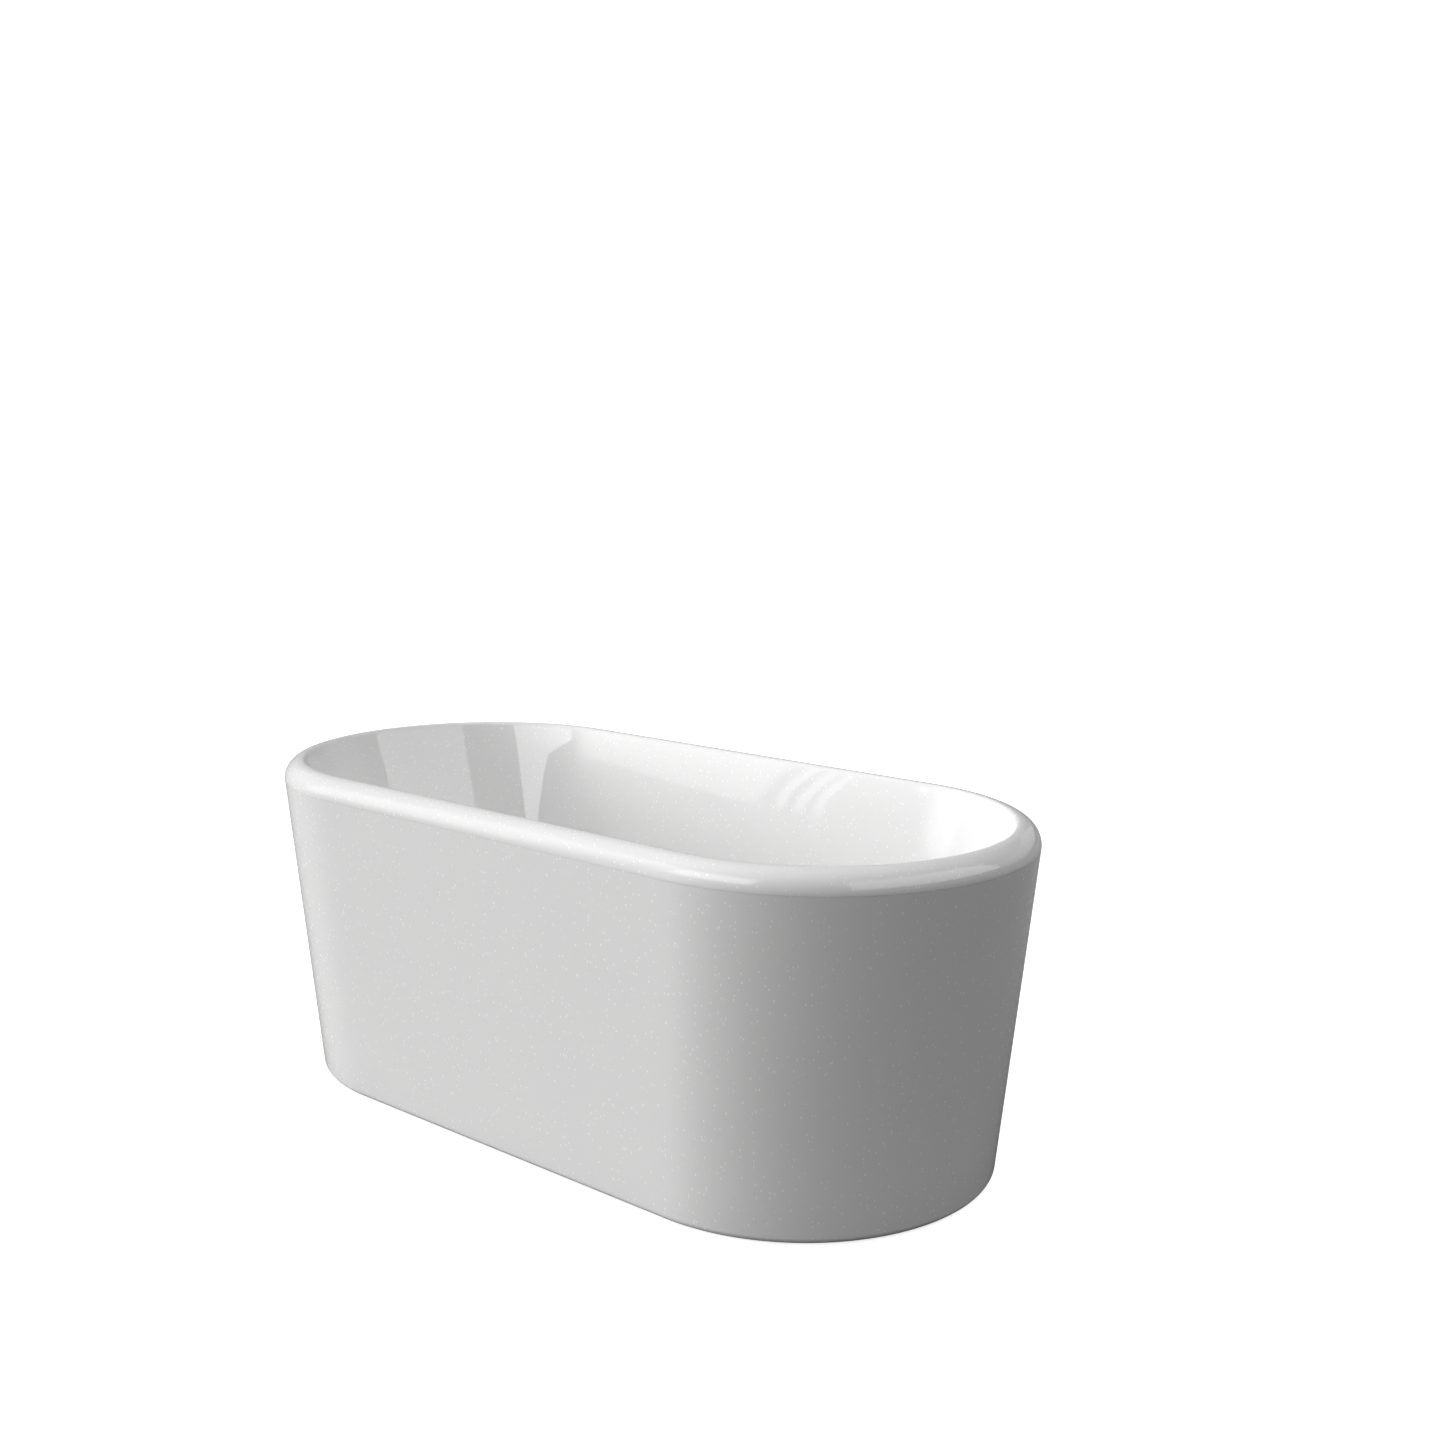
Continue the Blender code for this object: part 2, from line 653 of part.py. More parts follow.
def build_feet():
    stem_low, stem_high = PAD_FLOOR + GAP, BAR_TOP_Z + STEM_ABOVE_BAR
    pad_profile = [(STEM_RADIUS + 0.005, PAD_HEIGHT), (STEM_RADIUS + 0.007, PAD_HEIGHT - 0.004),
                   (PAD_RADIUS - 0.002, PAD_FLOOR + 0.001), (PAD_RADIUS, PAD_FLOOR - 0.001),
                   (PAD_RADIUS, 0), (0, 0), (0, PAD_FLOOR),
                   (STEM_RADIUS + GAP, PAD_FLOOR), (STEM_RADIUS + GAP, PAD_HEIGHT)]
    weld_bottom = BAR_BOTTOM_Z - GAP - WELD_NUT_HEIGHT
    lock_bottom = weld_bottom - GAP - LOCK_NUT_HEIGHT
    for number, sx, sy in corners():
        x, y = sx * END_BAR_X, sy * foot_y()
        stem = cylinder(f"foot_stem_{number}", STEM_RADIUS, stem_high - stem_low,
                        (x, y, (stem_low + stem_high) / 2))
        shade(as_part(stem, ZINC))
        pad = turned(f"foot_pad_{number}", pad_profile, BLACK_PLASTIC, SMALL_ROUND)
        pad.location = (x, y, 0)
        nut(f"foot_weld_nut_{number}", WELD_NUT_HEIGHT, (x, y, weld_bottom + WELD_NUT_HEIGHT / 2))
        nut(f"foot_lock_nut_{number}", LOCK_NUT_HEIGHT, (x, y, lock_bottom + LOCK_NUT_HEIGHT / 2))


# ---------------------------------------------------------------- click-clack waste

FLANGE_SEAT_Z = RECESS_Z + FLANGE_GASKET + 2 * GAP
FLANGE_TOP_Z = FLANGE_SEAT_Z + FLANGE_LIP
FLANGE_TUBE_END_Z = FLANGE_SEAT_Z - FLANGE_TUBE_LENGTH
HUB_MIDDLE_Z = FLANGE_TUBE_END_Z + 0.4 * FLANGE_TUBE_LENGTH
CARTRIDGE_LOW_Z = HUB_MIDDLE_Z - CARTRIDGE_LENGTH / 2
CARTRIDGE_HIGH_Z = HUB_MIDDLE_Z + CARTRIDGE_LENGTH / 2
PISTON_TOP_Z = CARTRIDGE_HIGH_Z - CARTRIDGE_END - GAP
CAP_BOTTOM_Z = FLANGE_TOP_Z + 2 * GAP + CAP_TRAVEL
BODY_TOP_Z = RECESS_UNDERSIDE_Z - BODY_GASKET - 2 * GAP


def build_flange():
    mouth = FLANGE_BORE_RADIUS + 0.002
    profile = [(FLANGE_RADIUS - 0.004, FLANGE_TOP_Z), (FLANGE_RADIUS, FLANGE_TOP_Z - 0.002),
               (FLANGE_RADIUS, FLANGE_SEAT_Z), (FLANGE_TUBE_RADIUS, FLANGE_SEAT_Z),
               (FLANGE_TUBE_RADIUS, FLANGE_TUBE_END_Z), (FLANGE_BORE_RADIUS, FLANGE_TUBE_END_Z),
               (FLANGE_BORE_RADIUS, FLANGE_SEAT_Z - 0.004), (mouth, FLANGE_TOP_Z - 0.001),
               (mouth + 0.001, FLANGE_TOP_Z)]
    flange = turned("waste_flange", profile, CHROME)
    reach = 2 * (FLANGE_BORE_RADIUS + FLANGE_TUBE_RADIUS) / 2
    spokes = block("spokes", (reach, SPOKE_WIDTH, HUB_HEIGHT * 0.6), (0, 0, HUB_MIDDLE_Z))
    cross = block("cross spokes", (SPOKE_WIDTH, reach, HUB_HEIGHT * 0.5), (0, 0, HUB_MIDDLE_Z))
    hub = cylinder("hub", HUB_RADIUS, HUB_HEIGHT, (0, 0, HUB_MIDDLE_Z), sides=SMALL_ROUND)
    bore = cylinder("hub bore", CARTRIDGE_RADIUS + GAP, HUB_HEIGHT + 2 * OVER, (0, 0, HUB_MIDDLE_Z))
    for piece in (spokes, cross, hub):
        boolean(flange, piece, "UNION")
    return boolean(flange, bore)


def build_waste():
    gasket_bottom = RECESS_Z + GAP
    ring_piece("waste_flange_gasket", FLANGE_RADIUS - 0.002, DRAIN_HOLE_RADIUS + 0.001,
               gasket_bottom, gasket_bottom + FLANGE_GASKET, RUBBER)
    build_flange()
    body_gasket_top = RECESS_UNDERSIDE_Z - GAP
    ring_piece("waste_body_gasket", BODY_FLANGE_RADIUS - 0.001, DRAIN_HOLE_RADIUS + 0.001,
               body_gasket_top - BODY_GASKET, body_gasket_top, RUBBER)
    build_waste_body()
    build_cartridge()
    build_cap()


def build_waste_body():
    bore = FLANGE_TUBE_RADIUS + GAP
    outer = bore + BODY_WALL
    tail_bore = TAIL_RADIUS - TAIL_WALL
    profile = [(BODY_FLANGE_RADIUS, BODY_TOP_Z), (BODY_FLANGE_RADIUS, BODY_TOP_Z - BODY_FLANGE),
               (outer, BODY_TOP_Z - BODY_FLANGE), (outer, BODY_BOTTOM_Z),
               (TAIL_RADIUS, TAIL_TOP_Z), (TAIL_RADIUS, TAIL_END_Z), (tail_bore, TAIL_END_Z),
               (tail_bore, TAIL_TOP_Z + BODY_WALL), (bore, BODY_BOTTOM_Z + BODY_WALL),
               (bore, BODY_TOP_Z)]
    body = turned("waste_body", profile, WHITE_PLASTIC)
    quarter = math.pi / 2
    start, end = -(bore + BODY_WALL / 2), -(outer + SPIGOT_LENGTH)
    spigot = cylinder("inlet spigot", SPIGOT_RADIUS, start - end, (0, (start + end) / 2, INLET_Z),
                      (quarter, 0, 0), sides=SMALL_ROUND)
    way = cylinder("inlet way", SPIGOT_RADIUS - SPIGOT_WALL, -end, (0, (end - OVER) / 2 - OVER, INLET_Z),
                   (quarter, 0, 0), sides=SMALL_ROUND)
    boolean(body, spigot, "UNION")
    return boolean(body, way)


def build_cartridge():
    """The cup that holds the spring and the cap's piston, screwed into the flange's hub."""
    neck = CAP_STEM_RADIUS + 2 * GAP
    profile = [(CARTRIDGE_RADIUS, CARTRIDGE_HIGH_Z), (CARTRIDGE_RADIUS, CARTRIDGE_LOW_Z),
               (0, CARTRIDGE_LOW_Z), (0, CARTRIDGE_LOW_Z + CARTRIDGE_END),
               (CARTRIDGE_BORE, CARTRIDGE_LOW_Z + CARTRIDGE_END),
               (CARTRIDGE_BORE, CARTRIDGE_HIGH_Z - CARTRIDGE_END), (neck, CARTRIDGE_HIGH_Z - CARTRIDGE_END),
               (neck, CARTRIDGE_HIGH_Z)]
    turned("waste_cartridge", profile, ZINC, SMALL_ROUND)
    build_spring(CARTRIDGE_LOW_Z + CARTRIDGE_END + GAP, PISTON_TOP_Z - PISTON_HEIGHT - GAP)


def build_spring(bottom, top):
    points_a_turn = 10
    radius = CARTRIDGE_BORE - 2 * GAP - SPRING_WIRE_RADIUS
    low, high = bottom + SPRING_WIRE_RADIUS, top - SPRING_WIRE_RADIUS
    count = SPRING_TURNS * points_a_turn
    curve = bpy.data.curves.new("waste_spring", "CURVE")
    curve.dimensions = "3D"
    curve.bevel_depth = SPRING_WIRE_RADIUS
    curve.bevel_resolution = 1
    curve.use_fill_caps = True
    curve.materials.append(SPRING_STEEL)
    spline = curve.splines.new("POLY")
    spline.points.add(count)
    for index, point in enumerate(spline.points):
        angle = 2 * math.pi * index / points_a_turn
        height = low + (high - low) * index / count
        point.co = (radius * math.cos(angle), radius * math.sin(angle), height, 1)
    spring = bpy.data.objects.new("waste_spring", curve)
    TUB.objects.link(spring)
    return spring


def build_cap():
    """The moving plug: a domed cap, a rubber seal and a stem whose piston rests on the spring."""
    top = CAP_BOTTOM_Z + CAP_EDGE
    dome = [(CAP_RADIUS * math.sin(t), top + CAP_DOME * math.cos(t))
            for t in [math.pi / 2 * step / 5 for step in range(6)]]
    socket = CAP_STEM_RADIUS + GAP
    under = CAP_BOTTOM_Z + CAP_EDGE / 2
    profile = dome + [(CAP_RADIUS - 0.0005, CAP_BOTTOM_Z), (CAP_RADIUS - 0.002, CAP_BOTTOM_Z),
                      (CAP_RADIUS - 0.003, under), (socket, under),
                      (socket, under + CAP_SOCKET), (0, under + CAP_SOCKET)]
    turned("waste_cap", profile, CHROME)
    seal_top = under - GAP
    ring_piece("waste_cap_seal", SEAL_RADIUS, SEAL_RADIUS - SEAL_WIDTH,
               seal_top - SEAL_HEIGHT, seal_top, RUBBER)
    stem_top = under + CAP_SOCKET - GAP
    piston = CARTRIDGE_BORE - GAP
    stem = [(CAP_STEM_RADIUS, stem_top), (CAP_STEM_RADIUS, PISTON_TOP_Z), (piston, PISTON_TOP_Z),
            (piston, PISTON_TOP_Z - PISTON_HEIGHT), (0, PISTON_TOP_Z - PISTON_HEIGHT), (0, stem_top)]
    turned("waste_cap_stem", stem, ZINC, SMALL_ROUND)


# ---------------------------------------------------------------- overflow

def overflow_frame():
    """An empty on the overflow's axis. Its Z points into the well, and its Y down along the wall."""
    centre, normal = overflow_point()
    frame = bpy.data.objects.new("overflow_axis", None)
    TUB.objects.link(frame)
    across = Vector((1, 0, 0))
    down = normal.cross(across)
    frame.matrix_world = Matrix.Translation(centre) @ Matrix((across, down, normal)).transposed().to_4x4()
    return frame


def hang_on(frame, obj):
    obj.parent = frame
    return obj


ELBOW_FRONT = -(BASIN_WALL + OVERFLOW_GASKET + 2 * GAP)
SPIGOT_AXIS = -(BASIN_WALL + HOSE_NUT_RADIUS + HOSE_NUT_CLEARANCE)
ELBOW_BACK = SPIGOT_AXIS - SPIGOT_RADIUS - GAP
SPIGOT_END = ELBOW_RADIUS + SPIGOT_LENGTH
POST_TOP = ELBOW_FRONT + ELBOW_WALL


def build_overflow():
    frame = overflow_frame()
    hang_on(frame, ring_piece("overflow_gasket", ELBOW_RADIUS, OVERFLOW_HOLE_RADIUS,
                              -BASIN_WALL - GAP - OVERFLOW_GASKET, -BASIN_WALL - GAP, RUBBER))
    face = OVERFLOW_COVER_GAP + OVERFLOW_COVER_DEPTH
    inside = face - OVERFLOW_COVER_WALL
    rim = OVERFLOW_COVER_RADIUS - OVERFLOW_COVER_WALL
    bolt_way = OVERFLOW_BOLT_RADIUS + GAP
    boss = bolt_way + OVERFLOW_COVER_WALL
    cover = [(bolt_way, face), (OVERFLOW_COVER_RADIUS - 0.002, face), (OVERFLOW_COVER_RADIUS, face - 0.002),
             (OVERFLOW_COVER_RADIUS, OVERFLOW_COVER_GAP), (rim, OVERFLOW_COVER_GAP), (rim, inside),
             (boss, inside), (boss, POST_TOP + GAP), (bolt_way, POST_TOP + GAP)]
    hang_on(frame, turned("overflow_cover", cover, CHROME))
    build_elbow(frame)
    head = face + GAP
    bolt_end = POST_TOP - OVERFLOW_BOLT_BITE
    bolt = [(0, head + 0.003), (OVERFLOW_BOLT_HEAD - 0.002, head + 0.003),
            (OVERFLOW_BOLT_HEAD, head + 0.001), (OVERFLOW_BOLT_HEAD, head),
            (OVERFLOW_BOLT_RADIUS, head), (OVERFLOW_BOLT_RADIUS, bolt_end), (0, bolt_end)]
    hang_on(frame, turned("overflow_bolt", bolt, CHROME, SMALL_ROUND))
    build_hose(frame)


def build_elbow(frame):
    """A cup behind the basin's wall with a post for the bolt and a spigot that points down."""
    thread = OVERFLOW_BOLT_RADIUS + GAP
    thread_end = POST_TOP - OVERFLOW_BOLT_BITE - 2 * GAP
    inner = OVERFLOW_HOLE_RADIUS
    floor = ELBOW_BACK + ELBOW_WALL
    cup = [(ELBOW_RADIUS, ELBOW_FRONT), (ELBOW_RADIUS, ELBOW_BACK), (0, ELBOW_BACK), (0, thread_end),
           (thread, thread_end), (thread, POST_TOP), (ELBOW_POST_RADIUS, POST_TOP),
           (ELBOW_POST_RADIUS, floor), (inner, floor), (inner, ELBOW_FRONT)]
    elbow = hang_on(frame, turned("overflow_elbow", cup, WHITE_PLASTIC))
    quarter = math.pi / 2
    start = (inner + ELBOW_RADIUS) / 2
    spigot = cylinder("spigot", SPIGOT_RADIUS, SPIGOT_END - start, (0, (start + SPIGOT_END) / 2, SPIGOT_AXIS),
                      (quarter, 0, 0))
    way_start = ELBOW_POST_RADIUS + 0.006
    way = cylinder("spigot way", SPIGOT_RADIUS - SPIGOT_WALL - 0.001, SPIGOT_END + OVER - way_start,
                   (0, (way_start + SPIGOT_END + OVER) / 2, SPIGOT_AXIS), (quarter, 0, 0))
    for tool, operation in ((spigot, "UNION"), (way, "DIFFERENCE")):
        hang_on(frame, tool)
        boolean(elbow, tool, operation)


def hose_route():
    """Centre line of the hose: down along the wall, one bend, and level to the waste body's inlet."""
    centre, normal = overflow_point()
    down = Vector((0, math.sin(SIDE_LEAN), -math.cos(SIDE_LEAN)))
    start = centre + normal * SPIGOT_AXIS + down * (SPIGOT_END + GAP)
    body_outer = FLANGE_TUBE_RADIUS + GAP + BODY_WALL
    end = Vector((0, -(body_outer + SPIGOT_LENGTH + GAP), INLET_Z))
    corner = start + down * ((start.z - INLET_Z) / -down.z)
    level = Vector((0, 1, 0))
    turn = down.angle(level)
    setback = HOSE_BEND_RADIUS * math.tan(turn / 2)
    hub = corner - down * setback + down.cross(Vector((-1, 0, 0))) * HOSE_BEND_RADIUS
    points = [start]
    straight = (corner - down * setback - start).length
    spacing = 2.5 * HOSE_RADIUS
    for step in range(1, int(straight / spacing)):
        points.append(start + down * step * spacing)
    bend_steps = 8
    out = (corner - down * setback) - hub
    for step in range(bend_steps + 1):
        points.append(hub + Matrix.Rotation(turn * step / bend_steps, 3, "X") @ out)
    points.append(end)
    return points, down


def tube_along(name, points, radius):
    """A round bar along a line of points, flat at both ends."""
    curve = bpy.data.curves.new(name, "CURVE")
    curve.dimensions = "3D"
    curve.bevel_depth = radius
    curve.bevel_resolution = 3
    curve.use_fill_caps = True
    spline = curve.splines.new("POLY")
    spline.points.add(len(points) - 1)
    for point, place in zip(spline.points, points):
        point.co = (*place, 1)
    guide = bpy.data.objects.new(name + " guide", curve)
    TUB.objects.link(guide)
    bar = mesh_from_curve(name, guide)
    bpy.data.objects.remove(guide)
    return shade(bar)


def build_hose(frame):
    points, down = hose_route()
    hose = as_part(tube_along("overflow_hose", points, HOSE_RADIUS), HOSE_PLASTIC)
    through = [points[0] - down * OVER] + points[1:-1] + [points[-1] + Vector((0, OVER, 0))]
    boolean(hose, tube_along("hose way", through, HOSE_RADIUS - HOSE_WALL))
    half = HOSE_NUT_LENGTH / 2
    size = (HOSE_NUT_RADIUS, HOSE_NUT_BORE_RADIUS, -half, half, WHITE_PLASTIC, SMALL_ROUND)
    top_nut = ring_piece("hose_nut_top", *size)
    hang_on(frame, top_nut)
    turn = Matrix.Rotation(math.pi / 2, 4, "X")
    top_nut.matrix_local = Matrix.Translation((0, SPIGOT_END, SPIGOT_AXIS)) @ turn
    bottom_nut = ring_piece("hose_nut_bottom", *size)
    bottom_nut.matrix_world = Matrix.Translation(points[-1]) @ Matrix.Rotation(math.pi / 2, 4, "X")


# ---------------------------------------------------------------- the whole bath

build_basin()
build_skirt()
build_joint_strip()
build_bonding_bed()
build_board()
build_rails()
build_crossbars()
build_end_caps()
build_board_screws()
build_brackets()
build_bracket_bolts()
build_feet()
build_waste()
build_overflow()
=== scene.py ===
"""Looks of a freestanding acrylic bath with a rolled rim, seen in a plain white studio.

Metres, +Z up, the origin on the floor under the middle of the bath.
"""

import json
import math

import bmesh
import bpy
from mathutils import Matrix, Vector

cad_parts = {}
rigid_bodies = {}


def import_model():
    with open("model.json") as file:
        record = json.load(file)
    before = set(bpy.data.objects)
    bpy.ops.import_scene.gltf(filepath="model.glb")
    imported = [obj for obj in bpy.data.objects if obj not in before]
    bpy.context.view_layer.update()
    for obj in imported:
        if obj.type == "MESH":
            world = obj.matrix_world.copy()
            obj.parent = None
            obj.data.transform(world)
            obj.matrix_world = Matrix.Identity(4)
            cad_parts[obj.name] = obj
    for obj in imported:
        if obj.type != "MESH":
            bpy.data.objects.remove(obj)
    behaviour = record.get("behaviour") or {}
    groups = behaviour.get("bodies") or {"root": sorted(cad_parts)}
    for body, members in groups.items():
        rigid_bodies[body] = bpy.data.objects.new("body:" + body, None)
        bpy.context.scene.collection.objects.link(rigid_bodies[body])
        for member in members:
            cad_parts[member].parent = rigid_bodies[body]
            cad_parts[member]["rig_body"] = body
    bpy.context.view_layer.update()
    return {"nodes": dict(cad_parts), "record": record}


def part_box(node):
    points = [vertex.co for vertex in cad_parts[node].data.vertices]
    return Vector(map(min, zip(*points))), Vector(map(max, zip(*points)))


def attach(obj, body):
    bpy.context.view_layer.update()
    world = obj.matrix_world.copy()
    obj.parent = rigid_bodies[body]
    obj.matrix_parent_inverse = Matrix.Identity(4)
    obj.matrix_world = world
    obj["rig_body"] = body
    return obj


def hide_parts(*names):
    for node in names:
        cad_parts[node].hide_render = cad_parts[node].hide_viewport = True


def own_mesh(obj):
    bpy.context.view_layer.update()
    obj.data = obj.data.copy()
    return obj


# Bath
LENGTH = 1.500
WIDTH = 0.700
HEIGHT = 0.585
END_TAPER = 0.055
SIDE_TAPER = 0.026
RIM_RADIUS = 0.034
RIM_INNER_RADIUS = 0.008
ROLL_END = math.radians(72)
SEAM_DROP = 0.001
SEAM_GAP = 0.0003
BASIN_WALL = 0.006
SKIRT_WALL = 0.005
SKIRT_CLEARANCE = 0.002
SKIRT_EDGE_RADIUS = 0.012
SKIRT_LIP = 0.020
WELL_END_INSET = 0.211
WELL_SIDE_INSET = 0.131
FLOOR_Z = 0.155
FLOOR_FALL = 0.004
FILLET_RISE = 0.090
FILLET_REACH = 0.084
RECESS_DEPTH = 0.004
RECESS_RADIUS = 0.038
DRAIN_HOLE_RADIUS = 0.0255
OVERFLOW_BELOW_RIM = 0.095
OVERFLOW_HOLE_RADIUS = 0.027
ARC_POINTS = 96            # steps round each half-round end

# Frame and feet
BOX_WALL = 0.002
BEAD_INSET = 0.0012        # of a weld bead from the tube's side
CAP_PLATE = 0.002
SCREW_RADIUS = 0.00225
SCREW_HEAD_RADIUS = 0.0045
SCREW_HEAD_HEIGHT = 0.0025
BRACKET_LEAF = 0.002
BOLT_RADIUS = 0.003
BOLT_HEAD_RADIUS = 0.0055
BOLT_HEAD_HEIGHT = 0.004
STEM_RADIUS = 0.006
PAD_RADIUS = 0.025
PAD_FLOOR = 0.004
NUT_RADIUS = 0.0105
SCREW_TIP = 0.003
SCREW_PITCH = 0.0016
BOLT_PITCH = 0.0010
STEM_PITCH = 0.00175
THREAD_DEPTH = 0.4         # of the pitch
TUBE_INNER_CORNER = 0.0006
PAD_RIBS = 8
PAD_RIB_WIDTH = 0.0016
IN_A_SET = 4               # feet, screws, bolts, brackets and end caps
FACE_GAP = 0.0003          # between faces that touch
TWIN_GAP = 0.00001         # between copies that already stand at their own distance
BOARD_HOLE_CLEARANCE = 0.010

# Waste
FLANGE_LIP = 0.003
FLANGE_TUBE_RADIUS = 0.0235
FLANGE_TUBE_WALL = 0.0035
HUB_RADIUS = 0.0085
CARTRIDGE_RADIUS = 0.0062
CARTRIDGE_BORE = 0.0050
CAP_STEM_RADIUS = 0.003
PISTON_HEIGHT = 0.003
SPRING_WIRE_RADIUS = 0.0005
SPRING_TURNS = 7
SEAL_WIDTH = 0.007
BODY_FLANGE_RADIUS = 0.036
BODY_FLANGE = 0.004
BODY_WALL = 0.004
TAIL_RADIUS = 0.0215
TAIL_LENGTH = 0.026
TAIL_SHOULDER = 0.008
BODY_RIBS = 12
BODY_RIB_WIDTH = 0.0018
CAP_EDGE = 0.003
SPOKES = 4
SPOKE_WIDTH = 0.003
SPOKE_HEIGHT = 0.006

# Overflow and hose
OVERFLOW_COVER_RADIUS = 0.035
OVERFLOW_COVER_GAP = 0.003
OVERFLOW_GASKET = 0.0025
OVERFLOW_BOLT_RADIUS = 0.0025
OVERFLOW_BOLT_HEAD = 0.007
OVERFLOW_BOLT_BITE = 0.012
OVERFLOW_BOLT_PITCH = 0.0008
COVER_WALL = 0.002
COVER_FACE = 0.015         # from the basin's wall to the front of the cover
ELBOW_RADIUS = 0.033
ELBOW_WALL = 0.003
SPIGOT_RADIUS = 0.0130
SPIGOT_WALL = 0.0025
SPIGOT_LENGTH = 0.020
HOSE_RADIUS = 0.0140
HOSE_BEND_RADIUS = 0.070
HOSE_NUT_RADIUS = 0.0181
HOSE_NUT_LENGTH = 0.022
HOSE_NUT_CLEARANCE = 0.0015
GRIP_RIBS = 20
GRIP_RIB_RADIUS = 0.0011

# Camera and studio
CAMERA_PLACE = (2.0007, -2.0703, 1.1878)
CAMERA_AZIMUTH = math.radians(41.351)
CAMERA_ELEVATION = math.radians(14.323)
CAMERA_LENS = 42.627
CAMERA_SHIFT = (0.00904, 0.09145)
WINDOW_REACH = 3.5
GLOW_TIGHTNESS = 9.0
FLOOR_HALF = 40
CARD_DROP = 0.0005         # of the painted shade sheet below the floor
SHEEN = 0.12               # of the dim room, as reflections see it
CEILING = 0.7              # of what is straight above, as reflections see it
PAINTED_SHADE_LEVELS = (0.42, 0.02)  # painted shade of the sheet under the bath, on its lit side and its dark side
CARD_FALL = 1.3            # how far from the middle the shade runs
# the side towards which the sheet under the bath is painted dark, as painted shade
DARK_SIDE = math.radians(-50)
FLOOR_GLOW = 0.80
DOME_RADIUS = 35
# azimuth, elevation and level of each soft glow; azimuth 0 is +X and 90 is +Y
GLOWS = [(210, 3, 9.8), (0, 62, 2.0), (270, 32, 1.08), (90, 32, 0.84), (60, 32, 0.18), (270, 3, 0.2)]
# name, azimuths, elevations and level of each window
WINDOWS = [
    ("left_window", (203, 228.7), (3, 42), 1.6),
    ("curtain_fold_1", (229.6, 230.2), (3, 42), 1.8),
    ("curtain_fold_2", (230.8, 231.4), (3, 42), 1.8),
    ("curtain_fold_3", (231.9, 232.5), (3, 42), 1.8),
    ("front_window", (236, 283), (18, 45), 3.8),
    ("right_window", (-32, 45), (12, 48), 2.2),
    ("rear_window", (46, 100), (5, 22), 0.4),
    ("side_wall", (100, 180), (3, 45), 0.1),
]

CREASE_Z = HEIGHT - RIM_RADIUS
SEAM_Z = CREASE_Z - SEAM_DROP
WELL_TOP_Z = HEIGHT - RIM_INNER_RADIUS * (1 - math.cos(ROLL_END))
WELL_TOP_INSET = RIM_RADIUS + RIM_INNER_RADIUS * math.sin(ROLL_END)
WELL_TOP = (LENGTH / 2 - WELL_TOP_INSET, WIDTH / 2 - WELL_TOP_INSET)
WELL_FOOT = (LENGTH / 2 - WELL_END_INSET, WIDTH / 2 - WELL_SIDE_INSET)
WELL_FOOT_Z = FLOOR_Z + FLOOR_FALL
SIDE_LEAN = math.atan((WELL_TOP[1] - WELL_FOOT[1]) / (WELL_TOP_Z - WELL_FOOT_Z))
FLOOR_EDGE = (WELL_FOOT[0] - FILLET_REACH, WELL_FOOT[1] - FILLET_REACH)
OVERFLOW_NORMAL = Vector((0, math.cos(SIDE_LEAN), math.sin(SIDE_LEAN)))

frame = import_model()


# ---------------------------------------------------------------- node helpers

def add(tree, kind, inputs=None, **settings):
    """A node with its settings made, and its inputs linked or given values."""
    node = tree.nodes.new(kind)
    for key, value in settings.items():
        setattr(node, key, value)
    for key, value in (inputs or {}).items():
        if isinstance(value, bpy.types.NodeSocket):
            tree.links.new(value, node.inputs[key])
        else:
            node.inputs[key].default_value = value
    return node


def maths(tree, operation, *values):
    return add(tree, "ShaderNodeMath", dict(enumerate(values)), operation=operation).outputs[0]


def positions(tree):
    """The X, Y and Z of each incoming point."""
    place = add(tree, "GeometryNodeInputPosition").outputs[0]
    return add(tree, "ShaderNodeSeparateXYZ", {"Vector": place}).outputs


def geometry_tree(name, **inputs):
    """An empty geometry node group with a geometry input, the named inputs and a geometry output."""
    tree = bpy.data.node_groups.new(name, "GeometryNodeTree")
    tree.interface.new_socket(name="Geometry", in_out="INPUT", socket_type="NodeSocketGeometry")
    kinds = {int: "NodeSocketInt", float: "NodeSocketFloat"}
    for label, value in {**inputs, "Finish": None}.items():
        kind = kinds.get(type(value), "NodeSocketMaterial")
        socket = tree.interface.new_socket(name=label.replace("_", " "), in_out="INPUT", socket_type=kind)
        if value is not None:
            socket.default_value = value
    tree.interface.new_socket(name="Geometry", in_out="OUTPUT", socket_type="NodeSocketGeometry")
    return tree, add(tree, "NodeGroupInput")


def close_tree(tree, given, geometry):
    """Ends a tree in real geometry with its finish on it."""
    real = add(tree, "GeometryNodeRealizeInstances", {"Geometry": geometry})
    finish = {"Geometry": real.outputs[0], "Material": given.outputs["Finish"]}
    painted = add(tree, "GeometryNodeSetMaterial", finish)
    add(tree, "NodeGroupOutput", {"Geometry": painted.outputs[0]})
    return tree


def apply_tree(obj, tree, **values):
    """Runs a tree on an object through a modifier, with the named inputs set first."""
    modifier = obj.modifiers.new(tree.name, "NODES")
    modifier.node_group = tree
    sockets = {item.name: item.identifier for item in tree.interface.items_tree if item.in_out == "INPUT"}
    for label, value in values.items():
        modifier[sockets[label.replace("_", " ")]] = value
    return modifier


def freeze(obj, smooth=35):
    """Replaces an object's mesh by the one its modifiers make, with its place in the mesh."""
    bpy.context.view_layer.update()
    graph = bpy.context.evaluated_depsgraph_get()
    mesh = bpy.data.meshes.new_from_object(obj.evaluated_get(graph), depsgraph=graph)
    mesh.transform(obj.matrix_world)
    obj.modifiers.clear()
    obj.matrix_world = Matrix.Identity(4)
    obj.data = mesh
    mesh.name = obj.name
    mesh.shade_smooth()
    mesh.set_sharp_from_angle(angle=math.radians(smooth))
    return obj


